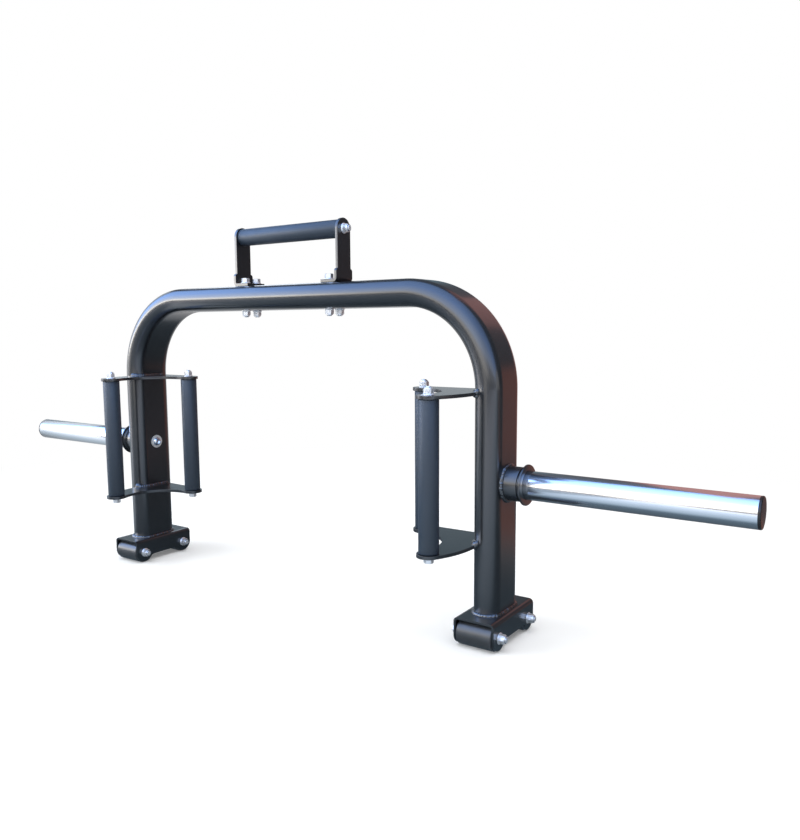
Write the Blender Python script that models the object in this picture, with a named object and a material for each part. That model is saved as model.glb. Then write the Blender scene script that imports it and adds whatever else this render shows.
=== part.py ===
"""Open-ended trap bar: arch frame on roller feet, turning sleeves, bolted grips. Metres, +Z up."""

import math

import bmesh
import bpy
from mathutils import Matrix, Vector

# Clearance between two pieces that touch on the real bar
GAP = 0.0003

# Arch: one flat-oval steel tube, bent to an upside-down U
TUBE_THICK = 0.050
TUBE_DEPTH = 0.100
TUBE_WALL = 0.003
LEG_SPACING = 0.936
CROSSBAR_HEIGHT = 0.613
BEND_RADIUS = 0.169
BEND_STEPS = 11
NOSE_STEPS = 8

# Roller feet: a folded channel under each leg
ROLLER_RADIUS = 0.024
ROLLER_SIDES = 36
ROLLER_CHAMFER = 0.0015
AXLE_OFFSET = 0.057
FOOT_WIDTH = 0.078
FOOT_SHEET = 0.004
FOOT_INNER_BEND = 0.004
FOOT_FLOOR_GAP = 0.0019
FOOT_EDGE_LIFT = 0.015
FOOT_EDGE_FILLET = 0.012
ROLLER_HEADROOM = 0.0015
ROLLER_SIDE_GAP = 0.001
DRAIN_HOLE = 0.002
DRAIN_ACROSS = 0.041
DRAIN_HEIGHT = 0.013

# Sleeves: each turns on a headed shaft that is bolted through its leg
SLEEVE_HEIGHT = 0.282
SLEEVE_RADIUS = 0.025
SLEEVE_WALL = 0.004
SLEEVE_LOAD_LENGTH = 0.370
SHAFT_RADIUS = 0.015
SHAFT_HEAD_CLEARANCE = 0.0015
SHAFT_HEAD_LENGTH = 0.008
BUSH_LENGTH = 0.030
COLLAR_WALL = 0.005
BOSS_LENGTH = 0.0275
SPIGOT_WALL = 0.004
BOSS_CHAMFER = 0.001
WELD_LEG = 0.004
SLEEVE_PARTING = 0.0008
COLLAR_LENGTH = 0.0085
COLLAR_NECK = 0.003
FLANGE_LIP = 0.0055
FLANGE_RIM = 0.003
CAP_HEAD = 0.004
CAP_CHAMFER = 0.0015
CAP_PLUG = 0.008

# Vertical handles: a low and a high grip on each side, between two plates
LOW_GRIP_INSET = 0.148
HIGH_GRIP_INSET = 0.053
HIGH_GRIP_FORWARD = 0.137
GRIP_RADIUS = 0.0175
GRIP_WALL = 0.004
GRIP_LENGTH = 0.258
GRIP_CHAMFER = 0.0008
PLATE_THICK = 0.006
PLATE_BELOW_BEND = 0.002
LOBE_MARGIN = 0.0035
NOTCH_OFFSET = 0.0476
OUTER_EDGE_RADIUS = 0.175
NOSE_WRAP = math.radians(59)

# Carry handle on top of the crossbar
TOP_GRIP_LENGTH = 0.264
TOP_GRIP_RISE = 0.1025
BRACKET_SHEET = 0.006
BRACKET_WIDTH = 0.040
BRACKET_BASE_WIDTH = 0.050
BRACKET_BASE_LENGTH = 0.040
BRACKET_SHOULDER = 0.026
BRACKET_INNER_BEND = 0.003
BRACKET_BOLT_INSET = 0.0255
BRACKET_BOLT_ACROSS = 0.016

# M10 flange bolts and locking flange nuts, and the M16 sleeve bolts
M10_RADIUS = 0.005
M10_FLATS = 0.016
M10_FLANGE = 0.0105
FLANGE_THICK = 0.002
HEAD_HEIGHT = 0.0105
HEAD_CHAMFER = 0.001
NUT_HEIGHT = 0.0125
NUT_DOME = 0.0032
NUT_RIM = 0.0014
THREAD_STICKOUT = 0.0015
THREAD_POINT = 0.001
M16_RADIUS = 0.008
M16_HEAD_RADIUS = 0.012
M16_WASHER = 0.016
M16_WASHER_THICK = 0.0025
M16_HEAD = 0.006
M16_THREAD_DEPTH = 0.035
HOLE_CLEARANCE = 0.0005

# Facets round a turned piece
FINE_SIDES = 40
BOLT_SIDES = 12
BUTTON_SIDES = 24

# Places worked out from the sizes above
LEG_X = LEG_SPACING / 2
TUBE_HALF = TUBE_THICK / 2
NOSE_Y = (TUBE_DEPTH - TUBE_THICK) / 2
CROSSBAR_TOP = CROSSBAR_HEIGHT + TUBE_HALF
CROSSBAR_UNDERSIDE = CROSSBAR_HEIGHT - TUBE_HALF
AXLE_HEIGHT = ROLLER_RADIUS * math.cos(math.pi / ROLLER_SIDES)
ROLLER_LENGTH = FOOT_WIDTH - 2 * (FOOT_SHEET + ROLLER_SIDE_GAP)
FOOT_BEND = FOOT_INNER_BEND + FOOT_SHEET
FOOT_TOP = AXLE_HEIGHT + ROLLER_RADIUS + ROLLER_HEADROOM + FOOT_SHEET
FOOT_LOBE = AXLE_HEIGHT - FOOT_FLOOR_GAP
FOOT_LENGTH = 2 * (AXLE_OFFSET + FOOT_LOBE)
LOBE_RADIUS = GRIP_RADIUS + LOBE_MARGIN
UPPER_PLATE = CROSSBAR_HEIGHT - BEND_RADIUS - PLATE_BELOW_BEND - PLATE_THICK
GRIP_BASE = UPPER_PLATE - GRIP_LENGTH
PLATE_UNDERSIDE = GRIP_BASE - PLATE_THICK
TOP_GRIP_HEIGHT = CROSSBAR_TOP + TOP_GRIP_RISE
BRACKET_X = TOP_GRIP_LENGTH / 2 + BRACKET_SHEET
BRACKET_BOLT_X = BRACKET_X - BRACKET_BOLT_INSET
BOLT_HOLE = M10_RADIUS + HOLE_CLEARANCE
M16_HOLE = M16_RADIUS + HOLE_CLEARANCE
FRONT_REACH = HIGH_GRIP_FORWARD + LOBE_RADIUS
REAR_REACH = AXLE_OFFSET + AXLE_HEIGHT
ARCH_Y = (FRONT_REACH - REAR_REACH) / 2

# Places along a sleeve's axis, from the leg's centre line outward
LEG_INSIDE = -TUBE_HALF + TUBE_WALL + GAP
BOSS_END = TUBE_HALF + BOSS_LENGTH
SLEEVE_START = BOSS_END + SLEEVE_PARTING
FLANGE_FACE = SLEEVE_START + COLLAR_LENGTH
SLEEVE_END = FLANGE_FACE + SLEEVE_LOAD_LENGTH
TUBE_END = SLEEVE_END - CAP_HEAD - GAP
TUBE_BORE = SLEEVE_RADIUS - SLEEVE_WALL
BOSS_RADIUS = SLEEVE_RADIUS + COLLAR_WALL
FLANGE_RADIUS = BOSS_RADIUS + FLANGE_LIP
SPIGOT_RADIUS = SHAFT_RADIUS + SPIGOT_WALL
SHAFT_HEAD_RADIUS = TUBE_BORE - SHAFT_HEAD_CLEARANCE
SHAFT_TIP = TUBE_END - CAP_PLUG - 2 * GAP
OUTER_BUSH_END = SHAFT_TIP - SHAFT_HEAD_LENGTH - GAP

SIDES = {"left": -1, "right": 1}
ROWS = {"front": -1, "rear": 1}
ALONG_X = (0.0, math.pi / 2, 0.0)
HEAD_UP = (math.pi, 0.0, 0.0)


# Materials

def make_material(name, colour, roughness, metallic):
    material = bpy.data.materials.new(name)
    material.use_nodes = True
    shader = material.node_tree.nodes["Principled BSDF"]
    shader.inputs["Base Color"].default_value = (*colour, 1.0)
    shader.inputs["Roughness"].default_value = roughness
    shader.inputs["Metallic"].default_value = metallic
    material.diffuse_color = (*colour, 1.0)
    return material


def make_materials():
    return {
        "powder_coat": make_material("black_powder_coat", (0.018, 0.021, 0.026), 0.36, 0.0),
        "grip": make_material("knurled_grip_coat", (0.035, 0.042, 0.052), 0.70, 0.0),
        "chrome": make_material("chrome_plate", (0.80, 0.80, 0.82), 0.08, 1.0),
        "zinc": make_material("bright_zinc", (0.66, 0.68, 0.72), 0.25, 1.0),
        "steel": make_material("ground_steel", (0.42, 0.42, 0.43), 0.30, 1.0),
        "bronze": make_material("bearing_bronze", (0.50, 0.32, 0.14), 0.35, 1.0),
        "nylon": make_material("black_nylon", (0.022, 0.023, 0.025), 0.45, 0.0),
    }


# Building blocks

def clear_scene():
    for old in list(bpy.data.objects):
        bpy.data.objects.remove(old, do_unlink=True)


def make_mesh(name, bm, material):
    """Finished mesh that one or more objects can share."""
    bmesh.ops.recalc_face_normals(bm, faces=bm.faces)
    mesh = bpy.data.meshes.new(name)
    bm.to_mesh(mesh)
    bm.free()
    mesh.materials.append(material)
    mesh.shade_smooth()
    mesh.set_sharp_from_angle(angle=math.radians(35))
    return mesh


def place_mesh(name, mesh, location, rotation=(0.0, 0.0, 0.0)):
    thing = bpy.data.objects.new(name, mesh)
    thing.location = location
    thing.rotation_euler = rotation
    bpy.context.collection.objects.link(thing)
    return thing


def make_object(name, bm, material, location, rotation=(0.0, 0.0, 0.0)):
    return place_mesh(name, make_mesh(name, bm, material), location, rotation)


def out_along_x(side):
    """Turn that points local Z away from the middle, along X."""
    return (0.0, side * math.pi / 2, 0.0)


def ring(z, radius, sides, hexagon=False, half_step=False):
    """Points of one ring round local Z; a hexagon ring has `radius` from its middle to its flats."""
    shift = math.pi / sides if half_step else 0.0
    points = []
    for i in range(sides):
        angle = 2 * math.pi * i / sides + shift
        reach = radius
        if hexagon:
            from_flat = (angle + math.pi / 6) % (math.pi / 3) - math.pi / 6
            reach = radius / math.cos(from_flat)
        points.append(Vector((reach * math.cos(angle), reach * math.sin(angle), z)))
    return points


def loft(rings, closed=False):
    """Skin a row of rings; a closed row ends where it starts, an open one gets two flat caps."""
    bm = bmesh.new()
    rows = [[bm.verts.new(point) for point in points] for points in rings]
    pairs = list(zip(rows, rows[1:]))
    if closed:
        pairs.append((rows[-1], rows[0]))
    for low, high in pairs:
        for i in range(len(low)):
            j = (i + 1) % len(low)
            bm.faces.new((low[i], low[j], high[j], high[i]))
    if not closed:
        bm.faces.new(rows[0])
        bm.faces.new(rows[-1])
    return bm


def turned(outline, sides, closed=False, half_step=False):
    """Turned piece round local Z from (z, radius) points; closed for a piece with a bore."""
    return loft([ring(z, radius, sides, half_step=half_step) for z, radius in outline], closed)


def prism(points, near, far):
    """Solid between two matrices that place the same flat outline."""
    bm = bmesh.new()
    low = [bm.verts.new(near @ Vector((x, y, 0.0))) for x, y in points]
    high = [bm.verts.new(far @ Vector((x, y, 0.0))) for x, y in points]
    bm.faces.new(low)
    bm.faces.new(high)
    for i in range(len(points)):
        j = (i + 1) % len(points)
        bm.faces.new((low[i], low[j], high[j], high[i]))
    return bm


def arc(centre, radius, start, end, steps):
    """Points along an arc, both ends included."""
    points = []
    for i in range(steps + 1):
        angle = start + (end - start) * i / steps
        points.append(Vector((centre[0] + radius * math.cos(angle), centre[1] + radius * math.sin(angle))))
    return points


def angle_of(vector):
    return math.atan2(vector[1], vector[0])


def cutter_object(name, bm, location, rotation=(0.0, 0.0, 0.0)):
    bmesh.ops.recalc_face_normals(bm, faces=bm.faces)
    mesh = bpy.data.meshes.new(name)
    bm.to_mesh(mesh)
    bm.free()
    thing = place_mesh(name, mesh, location, rotation)
    thing.hide_render = True
    thing.display_type = "WIRE"
    return thing


def rod_cutter(name, radius, length, location, rotation=(0.0, 0.0, 0.0), sides=BOLT_SIDES):
    """Round cutter centred on its location, along local Z."""
    bm = turned([(-length / 2, radius), (length / 2, radius)], sides)
    return cutter_object(name, bm, location, rotation)


def boolean(thing, cutter, operation="DIFFERENCE"):
    step = thing.modifiers.new(cutter.name, "BOOLEAN")
    step.operation = operation
    step.solver = "EXACT"
    step.object = cutter


# Arch frame

def oval_profile():
    """Outline of the flat-oval tube: x across its thickness, y along its depth."""
    front = arc((0.0, -NOSE_Y), TUBE_HALF, math.pi, 2 * math.pi, NOSE_STEPS)
    rear = arc((0.0, NOSE_Y), TUBE_HALF, 0.0, math.pi, NOSE_STEPS)
    return front + rear


def arch_stations():
    """Matrices that carry the profile up the left leg, round both bends and down the right leg."""
    stations = [Matrix.Translation((-LEG_X, 0.0, FOOT_TOP + GAP))]
    bend_x = LEG_X - BEND_RADIUS
    bend_z = CROSSBAR_HEIGHT - BEND_RADIUS
    for side in (-1, 1):
        for i in range(BEND_STEPS + 1):
            share = i / BEND_STEPS if side < 0 else 1 + i / BEND_STEPS
            angle = share * math.pi / 2
            centre = Vector((side * bend_x, 0.0, bend_z))
            turn = Matrix.Rotation(angle, 4, "Y")
            stations.append(Matrix.Translation(centre) @ turn @ Matrix.Translation((-BEND_RADIUS, 0.0, 0.0)))
    foot = Matrix.Translation((LEG_X, 0.0, FOOT_TOP + GAP))
    stations.append(foot @ Matrix.Rotation(math.pi, 4, "Y"))
    return stations


def make_arch(material):
    profile = oval_profile()
    bm = bmesh.new()
    rows = []
    for station in arch_stations():
        rows.append([bm.verts.new(station @ Vector((x, y, 0.0))) for x, y in profile])
    for low, high in zip(rows, rows[1:]):
        for i in range(len(profile)):
            j = (i + 1) % len(profile)
            bm.faces.new((low[i], low[j], high[j], high[i]))
    arch = make_object("arch_tube", bm, material, (0.0, 0.0, 0.0))
    wall = arch.modifiers.new("wall", "SOLIDIFY")
    wall.thickness = TUBE_WALL
    wall.offset = -1.0
    wall.use_even_offset = True
    for name, side in SIDES.items():
        turn = out_along_x(side)
        outer_wall = (side * (LEG_X + TUBE_HALF), 0.0, SLEEVE_HEIGHT)
        inner_wall = (side * (LEG_X - TUBE_HALF), 0.0, SLEEVE_HEIGHT)
        spigot_hole = SPIGOT_RADIUS + GAP
        boolean(arch, rod_cutter(name + "_spigot_hole", spigot_hole, TUBE_HALF, outer_wall, turn, FINE_SIDES))
        boolean(arch, rod_cutter(name + "_sleeve_bolt_hole", M16_HOLE, TUBE_HALF, inner_wall, turn))
        for row, way in ROWS.items():
            place = (side * BRACKET_BOLT_X, way * BRACKET_BOLT_ACROSS, CROSSBAR_HEIGHT)
            hole = rod_cutter(name + "_" + row + "_crossbar_hole", BOLT_HOLE, 2 * TUBE_THICK, place)
            boolean(arch, hole)


# Handle plates and grips

def tangent_point(point, centre, radius, turn):
    """Where the line from a point touches a circle; turn is 1 or -1 for the side it passes."""
    reach = Vector(point) - Vector(centre)
    swing = math.acos(radius / reach.length)
    angle = angle_of(reach) + turn * swing
    return Vector(centre) + radius * Vector((math.cos(angle), math.sin(angle)))


def plate_outline():
    """Handle plate of the right side, seen from above, with the leg's centre line at 0, 0."""
    low = Vector((-LOW_GRIP_INSET, 0.0))
    high = Vector((-HIGH_GRIP_INSET, -HIGH_GRIP_FORWARD))
    nose = Vector((0.0, -NOSE_Y))
    nose_radius = TUBE_HALF + GAP
    leg_corner = Vector((-nose_radius, NOSE_Y))
    nose_stop = nose + nose_radius * Vector((-math.cos(NOSE_WRAP), -math.sin(NOSE_WRAP)))

    span = high - low
    inward = Vector((span.y, -span.x)).normalized()
    notch = (low + high) / 2 + NOTCH_OFFSET * inward
    notch_radius = (notch - low).length - LOBE_RADIUS

    between = nose_stop - high
    reach_stop = OUTER_EDGE_RADIUS
    reach_high = OUTER_EDGE_RADIUS - LOBE_RADIUS
    along = (reach_high ** 2 - reach_stop ** 2 + between.length ** 2) / (2 * between.length)
    aside = math.sqrt(reach_high ** 2 - along ** 2)
    forward = between.normalized()
    edge_centre = high + along * forward + aside * Vector((-forward.y, forward.x))

    rear = tangent_point(leg_corner, low, LOBE_RADIUS, 1)
    full = 2 * math.pi
    points = [leg_corner]
    points += arc(low, LOBE_RADIUS, angle_of(rear - low), angle_of(notch - low) + full, 14)
    points += arc(notch, notch_radius, angle_of(low - notch), angle_of(high - notch), 16)[1:-1]
    points += arc(high, LOBE_RADIUS, angle_of(notch - high), angle_of(high - edge_centre) + full, 14)
    points += arc(edge_centre, OUTER_EDGE_RADIUS, angle_of(high - edge_centre),
                  angle_of(nose_stop - edge_centre), 8)[1:]
    points += arc(nose, nose_radius, math.pi + NOSE_WRAP, math.pi, 6)[1:]
    return points


def make_plate(name, side, underside, material):
    outline = [(side * x, y) for x, y in plate_outline()]
    bm = prism(outline, Matrix.Identity(4), Matrix.Translation((0.0, 0.0, PLATE_THICK)))
    plate = make_object(name, bm, material, (side * LEG_X, 0.0, underside))
    for grip, (x, y) in grip_places(side).items():
        place = (x, y, underside + PLATE_THICK / 2)
        boolean(plate, rod_cutter(name + "_" + grip + "_hole", BOLT_HOLE, 2 * PLATE_THICK, place))


def grip_places(side):
    return {
        "low": (side * (LEG_X - LOW_GRIP_INSET), 0.0),
        "high": (side * (LEG_X - HIGH_GRIP_INSET), -HIGH_GRIP_FORWARD),
    }


def grip_shape(length):
    """Grip tube along local Z, open at both ends."""
    bore = GRIP_RADIUS - GRIP_WALL
    end = length - GAP
    outline = [
        (GAP, bore),
        (GAP, GRIP_RADIUS - GRIP_CHAMFER),
        (GAP + GRIP_CHAMFER, GRIP_RADIUS),
        (end - GRIP_CHAMFER, GRIP_RADIUS),
        (end, GRIP_RADIUS - GRIP_CHAMFER),
        (end, bore),
    ]
    return turned(outline, FINE_SIDES, closed=True)


# Fasteners

def bolt_shape(clamped):
    """M10 flange bolt along local Z: its seat is at 0, its head below, its end above the nut."""
    flats = M10_FLATS / 2
    end = clamped + GAP + NUT_HEIGHT + THREAD_STICKOUT
    rings = [
        ring(-HEAD_HEIGHT, flats - HEAD_CHAMFER, BOLT_SIDES),
        ring(-HEAD_HEIGHT + HEAD_CHAMFER, flats, BOLT_SIDES, hexagon=True),
        ring(-FLANGE_THICK, flats, BOLT_SIDES, hexagon=True),
        ring(-FLANGE_THICK, M10_FLANGE, BOLT_SIDES),
        ring(-GAP, M10_FLANGE, BOLT_SIDES),
        ring(-GAP, M10_RADIUS, BOLT_SIDES),
        ring(end - THREAD_POINT, M10_RADIUS, BOLT_SIDES),
        ring(end, M10_RADIUS - THREAD_POINT, BOLT_SIDES),
    ]
    return loft(rings)


def nut_shape():
    """M10 locking flange nut along local Z, with its seat at 0."""
    flats = M10_FLATS / 2
    bore = M10_RADIUS + GAP
    rim = M10_RADIUS + NUT_RIM
    rings = [
        ring(GAP, bore, BOLT_SIDES),
        ring(GAP, M10_FLANGE, BOLT_SIDES),
        ring(FLANGE_THICK, M10_FLANGE, BOLT_SIDES),
        ring(FLANGE_THICK, flats, BOLT_SIDES, hexagon=True),
        ring(NUT_HEIGHT - NUT_DOME, flats, BOLT_SIDES, hexagon=True),
    ]
    for i in (1, 2):
        swing = i * math.pi / 4
        height = NUT_HEIGHT - NUT_DOME * (1 - math.sin(swing))
        rings.append(ring(height, rim + (flats - rim) * math.cos(swing), BOLT_SIDES))
    rings.append(ring(NUT_HEIGHT, bore, BOLT_SIDES))
    return loft(rings, closed=True)


def sleeve_bolt_shape(depth):
    """M16 button-head bolt with its washer, along local Z: seat at 0, head below."""
    dome = []
    for i in range(1, 5):
        swing = i * math.pi / 8
        height = M16_WASHER_THICK + M16_HEAD * math.cos(swing)
        dome.append((-height, M16_HEAD_RADIUS * math.sin(swing)))
    outline = [
        *dome,
        (-M16_WASHER_THICK, M16_WASHER),
        (-GAP, M16_WASHER),
        (-GAP, M16_RADIUS),
        (depth - THREAD_POINT, M16_RADIUS),
        (depth, M16_RADIUS - THREAD_POINT),
    ]
    return turned(outline, BUTTON_SIDES)


def make_handles(materials, nut):
    clamped = GRIP_LENGTH + 2 * PLATE_THICK
    grip = make_mesh("upright_grip", grip_shape(GRIP_LENGTH), materials["grip"])
    bolt = make_mesh("grip_bolt", bolt_shape(clamped), materials["zinc"])
    for name, side in SIDES.items():
        make_plate(name + "_lower_handle_plate", side, PLATE_UNDERSIDE, materials["powder_coat"])
        make_plate(name + "_upper_handle_plate", side, UPPER_PLATE, materials["powder_coat"])
        for kind, (x, y) in grip_places(side).items():
            stem = name + "_" + kind + "_grip"
            place_mesh(stem, grip, (x, y, GRIP_BASE))
            place_mesh(stem + "_bolt", bolt, (x, y, PLATE_UNDERSIDE))
            place_mesh(stem + "_nut", nut, (x, y, UPPER_PLATE + PLATE_THICK))


# Carry handle

def bracket_profile():
    """Folded strip seen from the front: x runs inward from its outer face, y runs up."""
    outer = BRACKET_INNER_BEND + BRACKET_SHEET
    top = TOP_GRIP_RISE + BRACKET_WIDTH
    fold = (outer, outer)
    points = [Vector((BRACKET_BASE_LENGTH, 0.0)), Vector((BRACKET_BASE_LENGTH, BRACKET_SHEET))]
    points += arc(fold, BRACKET_INNER_BEND, 1.5 * math.pi, math.pi, 4)
    points += [Vector((BRACKET_SHEET, top)), Vector((0.0, top))]
    points += arc(fold, outer, math.pi, 1.5 * math.pi, 6)
    return points


def bracket_silhouette():
    """Bracket seen from its side: x across the crossbar, y up; wide base, shoulders, round top."""
    half = BRACKET_WIDTH / 2
    base = BRACKET_BASE_WIDTH / 2
    step = base - half
    right = [Vector((base, -BRACKET_SHEET))]
    right += arc((half, BRACKET_SHOULDER - step), step, 0.0, math.pi / 2, 3)
    crown = arc((0.0, TOP_GRIP_RISE), half, 0.0, math.pi, 16)
    left = [Vector((-x, y)) for x, y in reversed(right)]
    return right + crown + left


def make_bracket(name, side, material):
    stand = CROSSBAR_TOP + GAP
    outer_face = side * BRACKET_X
    across = Matrix.Rotation(math.pi / 2, 4, "X")
    inward = Matrix.Diagonal((-side, 1.0, 1.0, 1.0))
    half = Matrix.Translation((0.0, BRACKET_BASE_WIDTH, 0.0))
    bm = prism(bracket_profile(), half @ inward @ across, half.inverted() @ inward @ across)
    bracket = make_object(name, bm, material, (outer_face, 0.0, stand))

    face_on = Matrix.Rotation(math.pi / 2, 4, "Z") @ across
    reach = Matrix.Translation((2 * BRACKET_BASE_LENGTH, 0.0, 0.0))
    outline = prism(bracket_silhouette(), reach @ face_on, reach.inverted() @ face_on)
    shape = cutter_object(name + "_outline", outline, (outer_face, 0.0, stand))
    boolean(bracket, shape, "INTERSECT")

    eye = (outer_face, 0.0, TOP_GRIP_HEIGHT)
    boolean(bracket, rod_cutter(name + "_grip_hole", BOLT_HOLE, 4 * BRACKET_SHEET, eye, ALONG_X))
    for row, way in ROWS.items():
        place = (side * BRACKET_BOLT_X, way * BRACKET_BOLT_ACROSS, stand)
        boolean(bracket, rod_cutter(name + "_" + row + "_hole", BOLT_HOLE, 4 * BRACKET_SHEET, place))


def make_carry_handle(materials, nut):
    for name, side in SIDES.items():
        make_bracket(name + "_carry_bracket", side, materials["powder_coat"])
    grip = grip_shape(TOP_GRIP_LENGTH)
    make_object("carry_grip", grip, materials["grip"], (-TOP_GRIP_LENGTH / 2, 0.0, TOP_GRIP_HEIGHT), ALONG_X)
    rod = bolt_shape(2 * BRACKET_X)
    make_object("carry_grip_bolt", rod, materials["zinc"], (-BRACKET_X, 0.0, TOP_GRIP_HEIGHT), ALONG_X)
    place_mesh("carry_grip_nut", nut, (BRACKET_X, 0.0, TOP_GRIP_HEIGHT), ALONG_X)

    seat = CROSSBAR_TOP + GAP + BRACKET_SHEET
    bolt = make_mesh("crossbar_bolt", bolt_shape(seat - CROSSBAR_UNDERSIDE), materials["zinc"])
    for name, side in SIDES.items():
        for row, way in ROWS.items():
            stem = name + "_" + row + "_crossbar"
            x = side * BRACKET_BOLT_X
            y = way * BRACKET_BOLT_ACROSS
            place_mesh(stem + "_bolt", bolt, (x, y, seat), HEAD_UP)
            place_mesh(stem + "_nut", nut, (x, y, CROSSBAR_UNDERSIDE), HEAD_UP)


# Feet

def foot_profile():
    """Channel seen from the front: an upside-down U of sheet, open at the bottom."""
    half = FOOT_WIDTH / 2
    low = -FOOT_SHEET
    left_fold = (-half + FOOT_BEND, FOOT_TOP - FOOT_BEND)
    right_fold = (half - FOOT_BEND, FOOT_TOP - FOOT_BEND)
    points = [Vector((-half, low))]
    points += arc(left_fold, FOOT_BEND, math.pi, math.pi / 2, 6)
    points += arc(right_fold, FOOT_BEND, math.pi / 2, 0.0, 6)
    points += [Vector((half, low)), Vector((half - FOOT_SHEET, low))]
    points += arc(right_fold, FOOT_INNER_BEND, 0.0, math.pi / 2, 4)
    points += arc(left_fold, FOOT_INNER_BEND, math.pi / 2, math.pi, 4)
    points += [Vector((-half + FOOT_SHEET, low))]
    return points


def foot_silhouette():
    """Channel seen from its side: a round lobe at each axle and a lifted edge between them."""
    fillet_z = FOOT_EDGE_LIFT - FOOT_EDGE_FILLET
    reach = FOOT_LOBE + FOOT_EDGE_FILLET
    fillet_y = AXLE_OFFSET - math.sqrt(reach ** 2 - (fillet_z - AXLE_HEIGHT) ** 2)
    axle = Vector((AXLE_OFFSET, AXLE_HEIGHT))
    fillet = Vector((fillet_y, fillet_z))
    meet = angle_of(fillet - axle)
    rear = arc(fillet, FOOT_EDGE_FILLET, math.pi / 2, angle_of(axle - fillet), 6)
    rear += arc(axle, FOOT_LOBE, meet, 0.0, 14)[1:]
    rear += [Vector((AXLE_OFFSET + FOOT_LOBE, FOOT_TOP + FOOT_SHEET))]
    front = [Vector((-y, z)) for y, z in reversed(rear)]
    return rear + front


def make_foot(name, side, material):
    x = side * LEG_X
    across = Matrix.Rotation(math.pi / 2, 4, "X")
    half = Matrix.Translation((0.0, FOOT_LENGTH, 0.0))
    bm = prism(foot_profile(), half @ across, half.inverted() @ across)
    foot = make_object(name + "_foot_channel", bm, material, (x, 0.0, 0.0))

    face_on = Matrix.Rotation(math.pi / 2, 4, "Z") @ across
    reach = Matrix.Translation((FOOT_WIDTH, 0.0, 0.0))
    outline = prism(foot_silhouette(), reach @ face_on, reach.inverted() @ face_on)
    boolean(foot, cutter_object(name + "_foot_outline", outline, (x, 0.0, 0.0)), "INTERSECT")

    for row, way in ROWS.items():
        place = (x, way * AXLE_OFFSET, AXLE_HEIGHT)
        boolean(foot, rod_cutter(name + "_" + row + "_axle_hole", BOLT_HOLE, 2 * FOOT_WIDTH, place, ALONG_X))
    drain = (x + side * FOOT_WIDTH / 2, DRAIN_ACROSS, DRAIN_HEIGHT)
    boolean(foot, rod_cutter(name + "_drain_hole", DRAIN_HOLE, 4 * FOOT_SHEET, drain, ALONG_X))


def roller_shape():
    """Roller along local Z, centred, with a bore for its bolt; its lowest facet lies flat."""
    half = ROLLER_LENGTH / 2
    bore = M10_RADIUS + GAP
    outline = [
        (-half, bore),
        (-half, ROLLER_RADIUS - ROLLER_CHAMFER),
        (-half + ROLLER_CHAMFER, ROLLER_RADIUS),
        (half - ROLLER_CHAMFER, ROLLER_RADIUS),
        (half, ROLLER_RADIUS - ROLLER_CHAMFER),
        (half, bore),
    ]
    return turned(outline, ROLLER_SIDES, closed=True, half_step=True)


def make_feet(materials, nut):
    roller = make_mesh("roller", roller_shape(), materials["nylon"])
    bolt = make_mesh("roller_bolt", bolt_shape(FOOT_WIDTH), materials["zinc"])
    for name, side in SIDES.items():
        make_foot(name, side, materials["powder_coat"])
        for row, way in ROWS.items():
            stem = name + "_" + row + "_roller"
            x = side * LEG_X
            y = way * AXLE_OFFSET
            place_mesh(stem, roller, (x, y, AXLE_HEIGHT), ALONG_X)
            place_mesh(stem + "_bolt", bolt, (x - FOOT_WIDTH / 2, y, AXLE_HEIGHT), ALONG_X)
            place_mesh(stem + "_nut", nut, (x + FOOT_WIDTH / 2, y, AXLE_HEIGHT), ALONG_X)


# Sleeves

def boss_outline():
    """Boss with a spigot in the leg's outer wall and a round weld bead where it meets the leg."""
    bore = SHAFT_RADIUS + GAP
    face = TUBE_HALF + GAP
    return [
        (LEG_INSIDE, bore),
        (LEG_INSIDE, SPIGOT_RADIUS),
        (face, SPIGOT_RADIUS),
        *arc((face, BOSS_RADIUS), WELD_LEG, math.pi / 2, 0.0, 2),
        (BOSS_END - BOSS_CHAMFER, BOSS_RADIUS),
        (BOSS_END, BOSS_RADIUS - BOSS_CHAMFER),
        (BOSS_END, bore),
    ]


def shaft_outline():
    """Headed shaft with a tapped hole in its inner end."""
    neck = SHAFT_TIP - SHAFT_HEAD_LENGTH
    tap = M16_RADIUS + GAP
    hole_end = LEG_INSIDE + M16_THREAD_DEPTH
    return [
        (hole_end, tap),
        (LEG_INSIDE, tap),
        (LEG_INSIDE, SHAFT_RADIUS),
        (neck, SHAFT_RADIUS),
        (neck, SHAFT_HEAD_RADIUS),
        (SHAFT_TIP, SHAFT_HEAD_RADIUS),
    ]


def tube_outline():
    return [
        (SLEEVE_START, TUBE_BORE),
        (SLEEVE_START, SLEEVE_RADIUS),
        (TUBE_END, SLEEVE_RADIUS),
        (TUBE_END, TUBE_BORE),
    ]


def collar_outline():
    """Plate stop: a neck that flares to the flange."""
    bore = SLEEVE_RADIUS + GAP
    flare_end = FLANGE_FACE - FLANGE_RIM
    flare_start = SLEEVE_START + COLLAR_NECK
    flare = [(flare_start, BOSS_RADIUS)]
    for i in range(1, 5):
        swing = i * math.pi / 8
        along = flare_start + (flare_end - flare_start) * math.sin(swing)
        flare.append((along, BOSS_RADIUS + FLANGE_LIP * (1 - math.cos(swing))))
    return [
        (SLEEVE_START, bore),
        (SLEEVE_START, BOSS_RADIUS - BOSS_CHAMFER),
        (SLEEVE_START + BOSS_CHAMFER, BOSS_RADIUS),
        *flare,
        (FLANGE_FACE - BOSS_CHAMFER, FLANGE_RADIUS),
        (FLANGE_FACE, FLANGE_RADIUS - BOSS_CHAMFER),
        (FLANGE_FACE, bore),
    ]


def bush_outline(start, end):
    outer = TUBE_BORE - GAP
    inner = SHAFT_RADIUS + GAP
    return [(start, inner), (start, outer), (end, outer), (end, inner)]


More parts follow.
